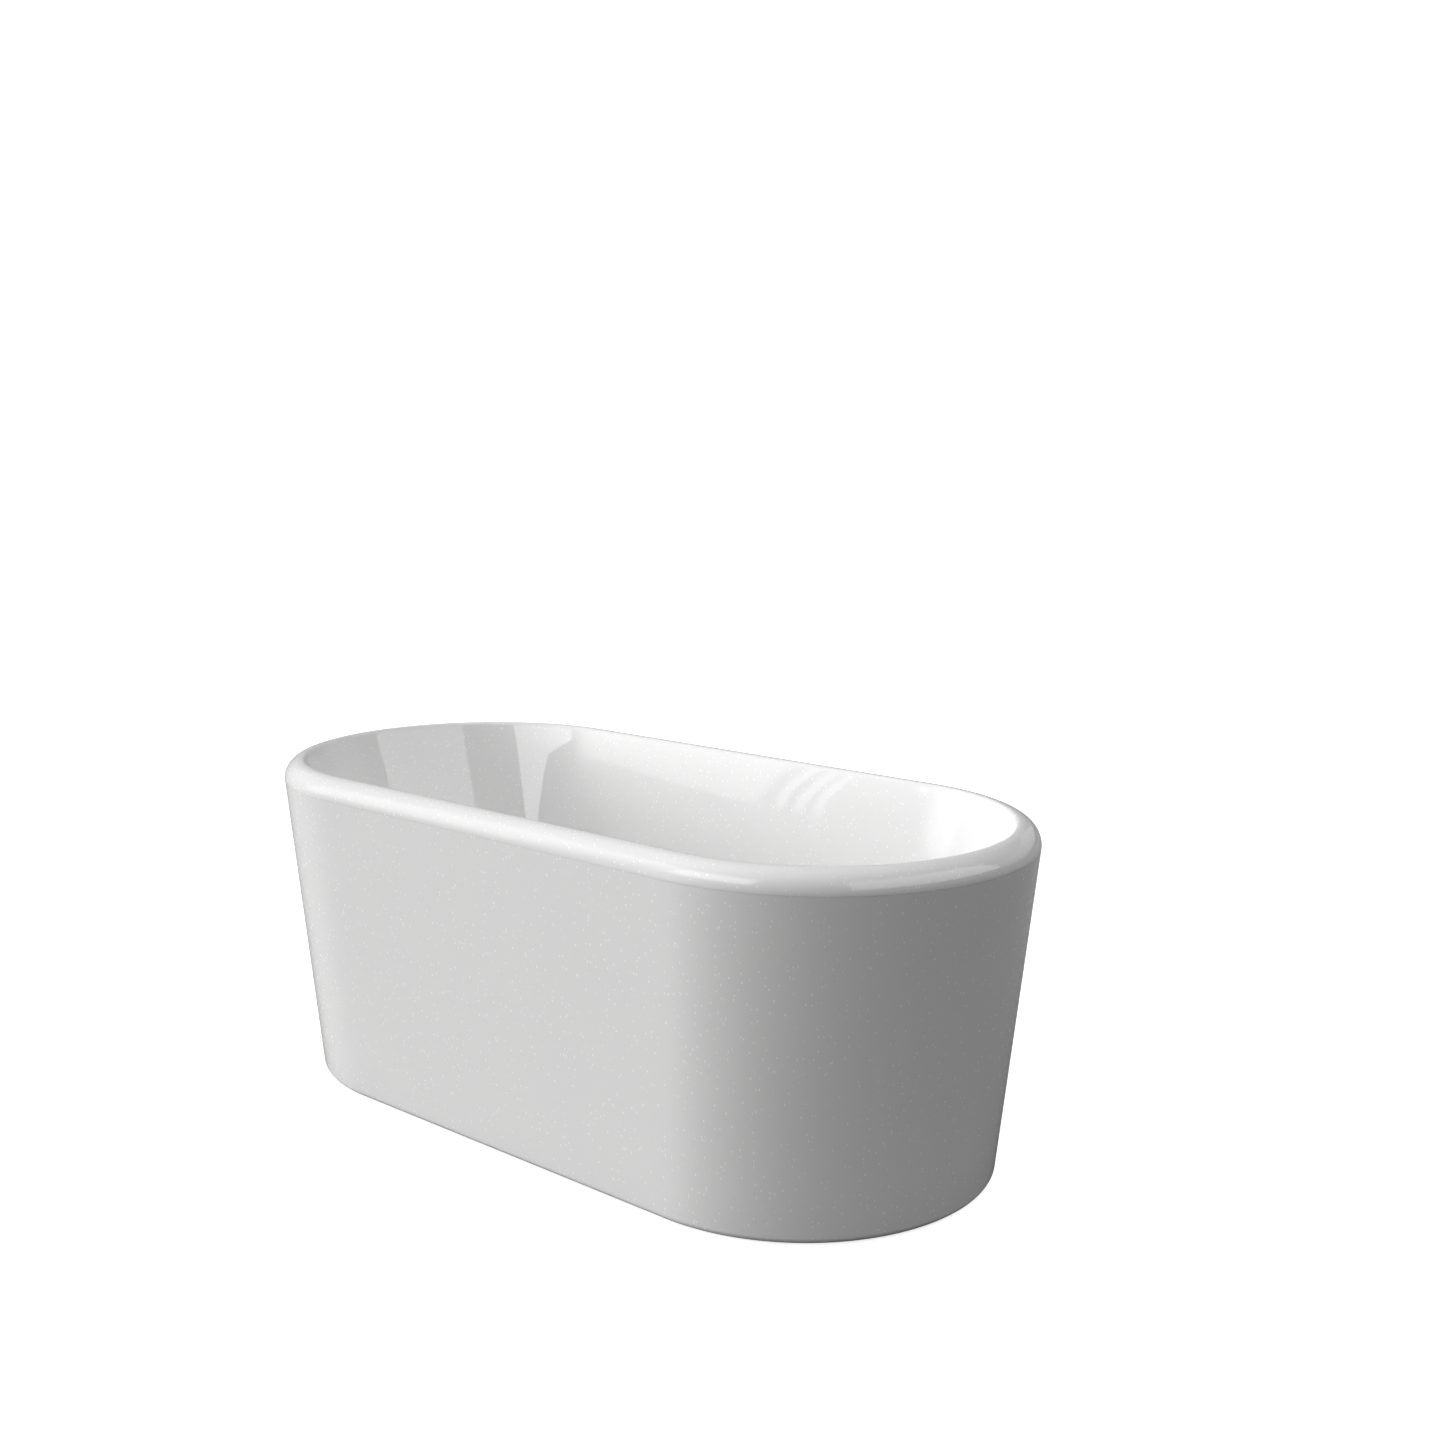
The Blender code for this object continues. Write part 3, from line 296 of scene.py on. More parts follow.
def new_object(name, points=(), edges=(), faces=()):
    mesh = bpy.data.meshes.new(name)
    mesh.from_pydata(list(points), list(edges), list(faces))
    obj = bpy.data.objects.new(name, mesh)
    bpy.context.scene.collection.objects.link(obj)
    return obj


# ---------------------------------------------------------------- finishes

def new_finish(name, colour, roughness, metallic=0.0):
    """A material with its own sockets set. Returns the material, its tree and its shader."""
    material = bpy.data.materials.new(name)
    material.use_nodes = True
    tree = material.node_tree
    shader = tree.nodes["Principled BSDF"]
    shader.inputs["Base Color"].default_value = (*colour, 1)
    shader.inputs["Roughness"].default_value = roughness
    shader.inputs["Metallic"].default_value = metallic
    return material, tree, shader


def on_object(tree, scale=(1, 1, 1)):
    place = add(tree, "ShaderNodeTexCoord").outputs["Object"]
    return add(tree, "ShaderNodeMapping", {"Vector": place, "Scale": scale}).outputs[0]


def noise(tree, place, scale, detail=4.0, roughness=0.5):
    given = {"Vector": place, "Scale": scale, "Detail": detail, "Roughness": roughness}
    return add(tree, "ShaderNodeTexNoise", given).outputs["Fac"]


def ramp(tree, value, low, high, to_low, to_high):
    given = {"Value": value, "From Min": low, "From Max": high, "To Min": to_low, "To Max": to_high}
    return add(tree, "ShaderNodeMapRange", given).outputs["Result"]


def shades(tree, factor, dark, light):
    given = {0: factor, 6: (*dark, 1), 7: (*light, 1)}
    return add(tree, "ShaderNodeMix", given, data_type="RGBA").outputs[2]


def bump(tree, shader, height, distance, strength=1.0):
    given = {"Height": height, "Distance": distance, "Strength": strength}
    tree.links.new(add(tree, "ShaderNodeBump", given).outputs[0], shader.inputs["Normal"])


def acrylic_finish():
    """Polished white sheet: a faint waviness from forming, and fine flecks in the gel, painted paler than the
    gel as a stand-in for their glint.
    """
    material, tree, shader = new_finish("polished white acrylic", (0.9, 0.9, 0.89), 0.05)
    shader.inputs["IOR"].default_value = 1.49
    place = on_object(tree)
    cells = add(tree, "ShaderNodeTexVoronoi", {"Vector": on_object(tree, (1, 1, 0.6)), "Scale": 165.0})
    fleck = ramp(tree, cells.outputs["Distance"], 0.12, 0.24, 1.0, 0.0)
    chosen = add(tree, "ShaderNodeSeparateColor", {"Color": cells.outputs["Color"]}).outputs[0]
    fleck = maths(tree, "MULTIPLY", fleck, ramp(tree, chosen, 0.35, 0.60, 0.0, 1.0))
    clouds = noise(tree, place, 9.0)
    gel = shades(tree, clouds, (0.806, 0.808, 0.806), (0.826, 0.826, 0.821))
    # The flecks are real specks in the gel; their pale colour is painted glint.
    speckled_with_painted_glint = add(tree, "ShaderNodeMix", {0: fleck, 6: gel, 7: (0.97, 0.97, 0.965, 1)}, data_type="RGBA")
    tree.links.new(speckled_with_painted_glint.outputs[2], shader.inputs["Base Color"])
    rough = maths(tree, "ADD", ramp(tree, clouds, 0.3, 0.7, 0.012, 0.025),
                  maths(tree, "MULTIPLY", fleck, 0.55))
    tree.links.new(rough, shader.inputs["Roughness"])
    tree.links.new(maths(tree, "MULTIPLY_ADD", fleck, 0.5, 0.5), shader.inputs["Specular IOR Level"])
    wave = maths(tree, "ADD", noise(tree, place, 14.0, 1.0), maths(tree, "MULTIPLY", fleck, 0.1))
    bump(tree, shader, wave, 0.00006)
    return material


def plain_finish(name, colour, roughness, metallic, grain, variation, relief):
    """A moulded, painted or plated finish with a fine grain in its colour, gloss and surface."""
    material, tree, shader = new_finish(name, colour, roughness, metallic)
    place = on_object(tree)
    coarse = noise(tree, place, grain * 0.15)
    fine = noise(tree, place, grain)
    dark = [c * (1 - variation) for c in colour]
    light = [min(c * (1 + variation), 0.95) for c in colour]
    tree.links.new(shades(tree, coarse, dark, light), shader.inputs["Base Color"])
    tree.links.new(ramp(tree, fine, 0.3, 0.7, roughness * 0.8, roughness * 1.25), shader.inputs["Roughness"])
    bump(tree, shader, fine, relief)
    return material


ACRYLIC = acrylic_finish()
FINISHES = {
    "white_acrylic": ACRYLIC,
    "bonding_paste": plain_finish("cured bonding paste", (0.72, 0.70, 0.62), 0.70, 0, 400.0, 0.10, 0.0006),
    "particle_board": plain_finish("sealed particle board", (0.62, 0.52, 0.36), 0.75, 0, 900.0, 0.22, 0.0003),
    "frame_paint": plain_finish("grey powder coat", (0.22, 0.23, 0.24), 0.45, 0.3, 1500.0, 0.06, 0.0001),
    "zinc_steel": plain_finish("bright zinc plate", (0.70, 0.71, 0.72), 0.30, 1, 1200.0, 0.08, 0.00003),
    "black_nylon": plain_finish("black nylon", (0.03, 0.03, 0.03), 0.50, 0, 1600.0, 0.20, 0.00005),
    "chrome_plate": plain_finish("chrome plate", (0.85, 0.86, 0.87), 0.06, 1, 300.0, 0.02, 0.00001),
    "black_rubber": plain_finish("black rubber", (0.04, 0.04, 0.04), 0.80, 0, 1400.0, 0.20, 0.0001),
    "white_plastic": plain_finish("white polypropylene", (0.82, 0.82, 0.80), 0.40, 0, 1100.0, 0.02, 0.00004),
    "hose_plastic": plain_finish("grey hose plastic", (0.55, 0.56, 0.57), 0.45, 0, 900.0, 0.04, 0.00005),
    "spring_steel": plain_finish("drawn spring steel", (0.60, 0.60, 0.62), 0.25, 1, 1800.0, 0.06, 0.00002),
}


def stand_for(obj, slot, *nodes):
    """Puts a finished piece on the body of the CAD nodes that it stands for."""
    body = frame["nodes"][nodes[0]]["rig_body"]
    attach(obj, body)
    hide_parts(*nodes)
    return obj


# ---------------------------------------------------------------- basin and skirt

def loft_tree():
    """Lofts stadium rings. Each point of the incoming line holds (half length, half width, height)."""
    tree, given = geometry_tree("stadium loft", Arc_Points=72)
    arc = given.outputs["Arc Points"]
    half_ring = maths(tree, "ADD", arc, 1)
    ring = maths(tree, "MULTIPLY", half_ring, 2)
    line = given.outputs["Geometry"]
    rows = add(tree, "GeometryNodeAttributeDomainSize", {"Geometry": line}).outputs["Point Count"]
    sheet = add(tree, "GeometryNodeMeshGrid", {"Size X": 1.0, "Size Y": 1.0, "Vertices Y": rows,
                                               "Vertices X": maths(tree, "ADD", ring, 1)})
    at = positions(tree)
    column = maths(tree, "ROUND", maths(tree, "MULTIPLY", maths(tree, "ADD", at[0], 0.5), ring))
    row = maths(tree, "ROUND", maths(tree, "MULTIPLY", maths(tree, "ADD", at[1], 0.5),
                                     maths(tree, "SUBTRACT", rows, 1)))
    sample = add(tree, "GeometryNodeSampleIndex", {"Geometry": line, "Index": row}, data_type="FLOAT_VECTOR")
    tree.links.new(add(tree, "GeometryNodeInputPosition").outputs[0], sample.inputs["Value"])
    size = add(tree, "ShaderNodeSeparateXYZ", {"Vector": sample.outputs[0]})
    column = maths(tree, "MODULO", column, ring)
    first = maths(tree, "LESS_THAN", column, maths(tree, "SUBTRACT", half_ring, 0.5))
    side = maths(tree, "SUBTRACT", maths(tree, "MULTIPLY", first, 2), 1)
    step = maths(tree, "MODULO", column, half_ring)
    turn = maths(tree, "DIVIDE", maths(tree, "MULTIPLY", step, math.pi), arc)
    turn = maths(tree, "SUBTRACT", turn, maths(tree, "MULTIPLY", side, math.pi / 2))
    middle = maths(tree, "MAXIMUM", maths(tree, "SUBTRACT", size.outputs[0], size.outputs[1]), 0)
    reach = maths(tree, "MULTIPLY", size.outputs[1], maths(tree, "COSINE", turn))
    place = add(tree, "ShaderNodeCombineXYZ", {
        0: maths(tree, "ADD", maths(tree, "MULTIPLY", side, middle), reach),
        1: maths(tree, "MULTIPLY", size.outputs[1], maths(tree, "SINE", turn)),
        2: size.outputs[2]})
    given_place = {"Geometry": sheet.outputs[0], "Position": place.outputs[0]}
    shaped = add(tree, "GeometryNodeSetPosition", given_place)
    joined = add(tree, "GeometryNodeMergeByDistance", {"Geometry": shaped.outputs[0], "Distance": 0.00001})
    return close_tree(tree, given, joined.outputs[0])


LOFT = loft_tree()


def outer_section(z):
    share = (CREASE_Z - z) / CREASE_Z
    return LENGTH / 2 - END_TAPER * share, WIDTH / 2 - SIDE_TAPER * share, z


def well_section(z):
    share = (WELL_TOP_Z - z) / (WELL_TOP_Z - WELL_FOOT_Z)
    return tuple(top + (foot - top) * share for top, foot in zip(WELL_TOP, WELL_FOOT))


def rim_line(steps=20, inner_steps=8):
    """Section sizes from the seam up over the outer roll and down the small inner roll."""
    line = [outer_section(SEAM_Z + SEAM_GAP / 2), outer_section(CREASE_Z)]
    for step in range(1, steps + 1):
        angle = math.pi / 2 * step / steps
        inset = RIM_RADIUS * (1 - math.cos(angle))
        line.append((LENGTH / 2 - inset, WIDTH / 2 - inset, CREASE_Z + RIM_RADIUS * math.sin(angle)))
    for step in range(1, inner_steps + 1):
        angle = ROLL_END * step / inner_steps
        inset = RIM_RADIUS + RIM_INNER_RADIUS * math.sin(angle)
        z = HEIGHT - RIM_INNER_RADIUS * (1 - math.cos(angle))
        line.append((LENGTH / 2 - inset, WIDTH / 2 - inset, z))
    return line


def well_line(wall_rows=6, fillet_steps=18, floor_rows=6):
    """Down the wall, round the fillet and over the falling floor to the waste's recess."""
    fillet_top = WELL_FOOT_Z + FILLET_RISE
    line = []
    for row in range(1, wall_rows + 1):
        z = WELL_TOP_Z + (fillet_top - WELL_TOP_Z) * row / wall_rows
        line.append((*well_section(z), z))
    start = well_section(fillet_top)
    for step in range(1, fillet_steps + 1):
        t = step / fillet_steps
        weights = ((1 - t) ** 2, 2 * t * (1 - t), t ** 2)
        size = [sum(w * p[i] for w, p in zip(weights, (start, WELL_FOOT, FLOOR_EDGE))) for i in range(2)]
        line.append((*size, weights[0] * fillet_top + (1 - weights[0]) * WELL_FOOT_Z))
    for row in range(floor_rows - 1, -1, -1):
        share = row / floor_rows
        size = [RECESS_RADIUS + (edge - RECESS_RADIUS) * share for edge in FLOOR_EDGE]
        line.append((*size, FLOOR_Z + FLOOR_FALL * share))
    recess_z = FLOOR_Z - RECESS_DEPTH
    for radius in (RECESS_RADIUS - RECESS_DEPTH / 4, DRAIN_HOLE_RADIUS):
        line.append((radius, radius, recess_z))
    return line


def shell(name, line, wall):
    """A lofted skin with its thickness inside."""
    obj = new_object(name, line, [(i, i + 1) for i in range(len(line) - 1)])
    apply_tree(obj, LOFT, Arc_Points=ARC_POINTS, Finish=ACRYLIC)
    return thicken(obj, wall, -1)


def cut_hole(obj, radius, centre, normal, depth=0.06, sides=96):
    """Cuts a round hole through an object with a plug that is then thrown away."""
    bpy.ops.mesh.primitive_cylinder_add(vertices=sides, radius=radius, depth=depth)
    plug = bpy.context.object
    turn = normal.to_track_quat("Z", "Y").to_matrix().to_4x4()
    plug.data.transform(Matrix.Translation(centre) @ turn)
    return carve(obj, plug)


def make_basin():
    basin = shell("basin_shell", rim_line() + well_line(), BASIN_WALL)
    z = HEIGHT - OVERFLOW_BELOW_RIM
    centre = Vector((0, -well_section(z)[1], z))
    cut_hole(basin, OVERFLOW_HOLE_RADIUS, centre, OVERFLOW_NORMAL)
    return stand_for(basin, "white_acrylic", "basin")


def make_skirt(edge_steps=10, wall_rows=8):
    length, width, z = outer_section(SKIRT_CLEARANCE)
    lip = SKIRT_EDGE_RADIUS + SKIRT_LIP
    line = [(length - lip, width - lip, z)]
    for step in range(edge_steps + 1):
        angle = math.pi / 2 * step / edge_steps
        inset = SKIRT_EDGE_RADIUS * (1 - math.sin(angle))
        length, width, z = outer_section(SKIRT_CLEARANCE + SKIRT_EDGE_RADIUS * (1 - math.cos(angle)))
        line.append((length - inset, width - inset, z))
    low, high = line[-1][2], SEAM_Z - SEAM_GAP / 2
    for row in range(1, wall_rows + 1):
        line.append(outer_section(low + (high - low) * row / wall_rows))
    return stand_for(freeze(shell("skirt_shell", line, SKIRT_WALL)), "white_acrylic", "outer_skirt")


# ---------------------------------------------------------------- shared shapes

def place_of(node):
    """Middle, lowest and highest corner of a CAD node."""
    low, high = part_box(node)
    return (low + high) / 2, low, high


def eased(profile, size, steps=3):
    """The same outline with each corner rounded a little."""
    rounded = []
    count = len(profile)
    for index, corner in enumerate(profile):
        here = Vector(corner)
        before, after = Vector(profile[index - 1]), Vector(profile[(index + 1) % count])
        reach = [min(size, (end - here).length * 0.45) for end in (before, after)]
        if min((before - here).length, (after - here).length) < 1e-6 or here.x == 0:
            rounded.append(tuple(here))
            continue
        start = here + (before - here).normalized() * reach[0]
        finish = here + (after - here).normalized() * reach[1]
        for step in range(steps + 1):
            t = step / steps
            rounded.append(tuple(start * (1 - t) ** 2 + here * 2 * t * (1 - t) + finish * t ** 2))
    return rounded


def outward(obj):
    """Welds a closed mesh and turns all its faces outwards."""
    shape = bmesh.new()
    shape.from_mesh(obj.data)
    bmesh.ops.remove_doubles(shape, verts=shape.verts, dist=0.000005)
    loose = [edge for edge in shape.edges if edge.is_wire]
    bmesh.ops.delete(shape, geom=loose, context="EDGES")
    bmesh.ops.recalc_face_normals(shape, faces=shape.faces)
    shape.to_mesh(obj.data)
    shape.free()
    return obj


def turned(name, profile, slot, sides=64, ease=0.0006, place=Matrix.Identity(4)):
    """A turned piece about Z from a closed outline of (radius, height) points, then put in place."""
    line = eased(profile, ease) if ease else list(profile)
    line.append(line[0])
    obj = new_object(name, [(r, r, z) for r, z in line], [(i, i + 1) for i in range(len(line) - 1)])
    apply_tree(obj, LOFT, Arc_Points=sides // 2, Finish=FINISHES[slot])
    outward(freeze(obj))
    obj.data.transform(place)
    return obj


def ring(name, outer, inner, low, high, slot, **more):
    return turned(name, [(outer, low), (outer, high), (inner, high), (inner, low)], slot, **more)


def rod(name, radius, low, high, slot, **more):
    return turned(name, [(0, low), (radius, low), (radius, high), (0, high)], slot, **more)


def join(name, parts):
    """One mesh from several finished pieces."""
    shape = bmesh.new()
    for part in parts:
        shape.from_mesh(part.data)
    whole = new_object(name)
    shape.to_mesh(whole.data)
    shape.free()
    whole.data.materials.append(parts[0].data.materials[0])
    for part in parts:
        bpy.data.objects.remove(part)
    return whole


def solid(name, outline, thickness, slot, ease=0.0008):
    """A flat plate from an outline in XY, rising from Z = 0, with eased edges."""
    count = len(outline)
    points = [(x, y, z) for z in (0, thickness) for x, y in outline]
    faces = [tuple(range(count))[::-1], tuple(range(count, 2 * count))]
    faces += [(i, (i + 1) % count, count + (i + 1) % count, count + i) for i in range(count)]
    obj = new_object(name, points, faces=faces)
    obj.data.materials.append(FINISHES[slot])
    ease_edges(obj, ease, 3, 25)
    return outward(freeze(obj))


def thicken(obj, wall, side):
    """Gives a sheet its thickness, inwards where side is -1 and outwards where it is 1."""
    modifier = obj.modifiers.new("Wall", "SOLIDIFY")
    modifier.thickness = wall
    modifier.offset = side
    modifier.use_even_offset = True
    return obj


def ease_edges(obj, width, segments, degrees):
    """Rounds the edges that turn by more than an angle."""
    modifier = obj.modifiers.new("Eased edges", "BEVEL")
    modifier.width = width
    modifier.segments = segments
    modifier.limit_method = "ANGLE"
    modifier.angle_limit = math.radians(degrees)
    return obj


def carve(obj, tool, operation="DIFFERENCE"):
    """Cuts one finished piece by another, which is thrown away."""
    cut = obj.modifiers.new("Carve", "BOOLEAN")
    cut.operation = operation
    cut.solver = "EXACT"
    cut.object = tool
    freeze(obj)
    bpy.data.objects.remove(tool)
    return obj


def polygon(sides, radius, start=math.pi / 2):
    turns = [start + 2 * math.pi * side / sides for side in range(sides)]
    return [(radius * math.cos(turn), radius * math.sin(turn)) for turn in turns]


def moved(obj, place, turn=None):
    """Puts a piece that was made at the origin in its place."""
    obj.data.transform(Matrix.Translation(place) @ (turn or Matrix.Identity(4)))
    return obj


# ---------------------------------------------------------------- repeated details

def close_in_copies(tree, given, points, turn):
    """Ends a tree in a copy of the incoming piece at each point, turned about Z."""
    spun = add(tree, "ShaderNodeCombineXYZ", {"Z": turn}).outputs[0]
    copies = add(tree, "GeometryNodeInstanceOnPoints", {"Points": points.outputs[0], "Rotation": spun,
                                                        "Instance": given.outputs["Geometry"]})
    return close_tree(tree, given, copies.outputs[0])


def around_tree():
    """Copies of the incoming piece spaced evenly round Z."""
    tree, given = geometry_tree("spaced round an axis", Count=8)
    count = given.outputs["Count"]
    points = add(tree, "GeometryNodePoints", {"Count": count})
    turn = maths(tree, "DIVIDE", maths(tree, "MULTIPLY", add(tree, "GeometryNodeInputIndex").outputs[0],
                                       2 * math.pi), count)
    return close_in_copies(tree, given, points, turn)


def quarters_tree():
    """Four copies of the incoming piece, one in each quarter; those at -Y are turned half round."""
    tree, given = geometry_tree("one in each quarter", Spacing_X=0.5, Spacing_Y=0.2)
    points = add(tree, "GeometryNodeMeshGrid", {"Size X": given.outputs["Spacing X"], "Vertices X": 2,
                                                "Size Y": given.outputs["Spacing Y"], "Vertices Y": 2})
    at = positions(tree)
    turn = maths(tree, "MULTIPLY", maths(tree, "LESS_THAN", at[1], 0), math.pi)
    return close_in_copies(tree, given, points, turn)


def thread_tree():
    """A threaded rod about Z, from Z = 0 up: a fine cylinder whose radius follows a helix."""
    tree, given = geometry_tree("screw thread", Radius=0.006, Length=0.1, Pitch=0.00175, Depth=0.0007,
                                Sides=24, Rows_a_Turn=6)
    length, pitch = given.outputs["Length"], given.outputs["Pitch"]
    rows = maths(tree, "MULTIPLY", maths(tree, "DIVIDE", length, pitch), given.outputs["Rows a Turn"])
    body = add(tree, "GeometryNodeMeshCylinder", {"Vertices": given.outputs["Sides"], "Side Segments": rows,
                                                  "Radius": given.outputs["Radius"], "Depth": length})
    at = positions(tree)
    turn = maths(tree, "DIVIDE", maths(tree, "ARCTAN2", at[1], at[0]), 2 * math.pi)
    phase = maths(tree, "SUBTRACT", maths(tree, "DIVIDE", at[2], pitch), turn)
    groove = maths(tree, "MULTIPLY", maths(tree, "PINGPONG", phase, 0.5), 2)
    depth = maths(tree, "MULTIPLY", groove, given.outputs["Depth"])
    cut = maths(tree, "DIVIDE", depth, given.outputs["Radius"])
    keep = maths(tree, "SUBTRACT", 1, cut)
    place = add(tree, "ShaderNodeCombineXYZ", {
        0: maths(tree, "MULTIPLY", at[0], keep), 1: maths(tree, "MULTIPLY", at[1], keep),
        2: maths(tree, "ADD", at[2], maths(tree, "DIVIDE", length, 2))})
    given_place = {"Geometry": body.outputs[0], "Position": place.outputs[0]}
    grooved = add(tree, "GeometryNodeSetPosition", given_place)
    return close_tree(tree, given, grooved.outputs[0])


def hose_tree():
    """A round tube along the incoming line, with ribs where their depth isn't 0."""
    tree, given = geometry_tree("ribbed hose", Radius=0.014, Rib_Depth=0.0012, Rib_Pitch=0.0045,
                                Points_a_Rib=6, Sides=28)
    line = add(tree, "GeometryNodeMeshToCurve", {"Mesh": given.outputs["Geometry"]})
    step = maths(tree, "DIVIDE", given.outputs["Rib Pitch"], given.outputs["Points a Rib"])
    fine = add(tree, "GeometryNodeResampleCurve", {"Curve": line.outputs[0], "Length": step}, mode="LENGTH")
    along = add(tree, "GeometryNodeSplineParameter").outputs["Length"]
    phase = maths(tree, "MULTIPLY", maths(tree, "DIVIDE", along, given.outputs["Rib Pitch"]), 2 * math.pi)
    dip = maths(tree, "MULTIPLY", maths(tree, "SUBTRACT", 1, maths(tree, "COSINE", phase)), 0.5)
    depth = maths(tree, "MULTIPLY", dip, given.outputs["Rib Depth"])
    radius = maths(tree, "SUBTRACT", given.outputs["Radius"], depth)
    profile = add(tree, "GeometryNodeCurvePrimitiveCircle", {
        "Resolution": given.outputs["Sides"], "Radius": 1.0})
    swept = add(tree, "GeometryNodeCurveToMesh", {
        "Curve": fine.outputs[0], "Profile Curve": profile.outputs[0], "Scale": radius, "Fill Caps": True})
    return close_tree(tree, given, swept.outputs[0])


def bead_tree():
    """A weld bead: overlapping drops of slightly varied size along each incoming line."""
    tree, given = geometry_tree("weld bead", Drop_Radius=0.0017, Drop_Spacing=0.0012, Seed=3)
    line = add(tree, "GeometryNodeMeshToCurve", {"Mesh": given.outputs["Geometry"]})
    spacing = {"Curve": line.outputs[0], "Length": given.outputs["Drop Spacing"]}
    fine = add(tree, "GeometryNodeResampleCurve", spacing, mode="LENGTH")
    drop = add(tree, "GeometryNodeMeshIcoSphere", {"Radius": given.outputs["Drop Radius"], "Subdivisions": 1})
    size = add(tree, "FunctionNodeRandomValue", {"Seed": given.outputs["Seed"]}, data_type="FLOAT")
    size.inputs[2].default_value, size.inputs[3].default_value = 0.85, 1.05
    copies = add(tree, "GeometryNodeInstanceOnPoints", {"Points": fine.outputs[0], "Scale": size.outputs[1],
                                                        "Instance": drop.outputs[0]})
    return close_tree(tree, given, copies.outputs[0])


AROUND = around_tree()
QUARTERS = quarters_tree()
THREAD = thread_tree()
HOSE = hose_tree()
BEAD = bead_tree()


def spaced_round(obj, count, slot):
    apply_tree(obj, AROUND, Count=count, Finish=FINISHES[slot])
    return freeze(obj)


def in_quarters(obj, name, prefix, spacing_x, spacing_y, slot="zinc_steel"):
    """Copies a piece into each quarter, as one object that stands for the four CAD nodes."""
    apply_tree(obj, QUARTERS, Spacing_X=spacing_x, Spacing_Y=spacing_y, Finish=FINISHES[slot])
    freeze(obj)
    obj.name = name
    return stand_for(obj, slot, *numbered(prefix))


def thread(name, radius, length, pitch, slot, sides=24):
    obj = new_object(name)
    apply_tree(obj, THREAD, Radius=radius, Length=length, Pitch=pitch, Depth=THREAD_DEPTH * pitch,
               Sides=sides, Finish=FINISHES[slot])
    return freeze(obj)


def numbered(prefix):
    return [f"{prefix}_{number}" for number in range(1, IN_A_SET + 1)]


def hexagon_nut(name, across, bore, height, slot="zinc_steel"):
    """A hexagon nut about Z, from Z = 0 up, with its corners turned off and its bore countersunk."""
    body = solid(name, polygon(6, across), height, slot, ease=0.0002)
    lean = 0.3 * across * 0.5
    lens = turned("corners", [(0, 0), (across - lean, 0), (across, lean * 0.6), (across, height - lean * 0.6),
                              (across - lean, height), (0, height)], slot, ease=0)
    carve(body, lens, "INTERSECT")
    sink = 0.0008
    hole = turned("bore", [(0, -0.001), (bore + sink + 0.001, -0.001), (bore, sink), (bore, height - sink),
                           (bore + sink + 0.001, height + 0.001), (0, height + 0.001)], slot, ease=0)
    return carve(body, hole)


# ---------------------------------------------------------------- frame under the bath

def square_tube(name, length, size, wall, corner=0.003, steps=5):
    """A square tube along X with rounded corners, open at both ends, middle at the origin."""
    inner_corner = max(corner - wall, TUBE_INNER_CORNER)
    rings = [rounded_box(2 * half, 2 * half, radius, steps)
             for half, radius in ((size / 2, corner), (size / 2 - wall, inner_corner))]
    count = len(rings[0])
    points = [(x, y, z) for x in (-length / 2, length / 2) for outline in rings for y, z in outline]
    faces = []
    for i in range(count):
        j = (i + 1) % count
        for first, second in ((0, 1), (3, 2)):
            faces.append((first * count + i, first * count + j, second * count + j, second * count + i))
        faces.append((i, 2 * count + i, 2 * count + j, j))
        faces.append((count + i, count + j, 3 * count + j, 3 * count + i))
    obj = new_object(name, points, faces=faces)
    obj.data.materials.append(FINISHES["frame_paint"])
    return outward(freeze(obj))


def make_frame():
    """Two rails and four crossbars of square tube, with a weld bead round each joint."""
    quarter = Matrix.Rotation(math.pi / 2, 4, "Z")
    parts, joints = [], []
    nodes = ["rail_front", "rail_rear", "end_crossbar_left", "end_crossbar_right",
             "inner_crossbar_left", "inner_crossbar_right"]
    for node in nodes:
        middle, low, high = place_of(node)
        along = 0 if node.startswith("rail") else 1
        size, length = high.z - low.z, high[along] - low[along]
        tube = square_tube(node + "_tube", length, size, BOX_WALL)
        parts.append(moved(tube, middle, quarter if along else None))
        if node.startswith("end"):
            continue
        half = size / 2 - BEAD_INSET
        for end in (-1, 1):
            corners = [(-half, -half), (half, -half), (half, half), (-half, half)]
            loop = []
            for across, up in corners:
                point = Vector((0, 0, middle.z + up))
                point[along] = middle[along] + end * length / 2
                point[1 - along] = middle[1 - along] + across
                loop.append(point)
            joints.append(loop)
    points = [point for loop in joints for point in loop]
    edges = [(4 * k + i, 4 * k + (i + 1) % 4) for k in range(len(joints)) for i in range(4)]
    beads = new_object("weld_beads", points, edges)
    apply_tree(beads, BEAD, Finish=FINISHES["frame_paint"])
    parts.append(freeze(beads, 60))
    stand_for(join("steel_frame", parts), "frame_paint", *nodes)


def make_end_caps():
    middle, low, high = place_of("crossbar_cap_4")
    size = high - low
    plate = solid("cap_plate", rounded_box(size.x, size.z, 0.003), CAP_PLATE, "black_nylon", ease=0.0008)
    inside = rounded_box(size.x - 2 * BOX_WALL - 2 * FACE_GAP, size.z - 2 * BOX_WALL - 2 * FACE_GAP, 0.001)
    plug = solid("cap_plug", inside, size.y - CAP_PLATE, "black_nylon", ease=0.0008)
    moved(plug, (0, 0, CAP_PLATE))
    cap = join("cap", [plate, plug])
    moved(cap, (0, 0, middle.z), Matrix.Rotation(math.pi / 2, 4, "X"))
    in_quarters(cap, "crossbar_end_caps", "crossbar_cap", 2 * middle.x, 2 * high.y, "black_nylon")


def rounded_box(width, height, radius, steps=4):
    outline = []
    for quarter in range(4):
        middle = math.pi / 4 + quarter * math.pi / 2
        cx = math.copysign(width / 2 - radius, math.cos(middle))
        cy = math.copysign(height / 2 - radius, math.sin(middle))
        for step in range(steps + 1):
            turn = quarter * math.pi / 2 + math.pi / 2 * step / steps
            outline.append((cx + radius * math.cos(turn), cy + radius * math.sin(turn)))
    return outline


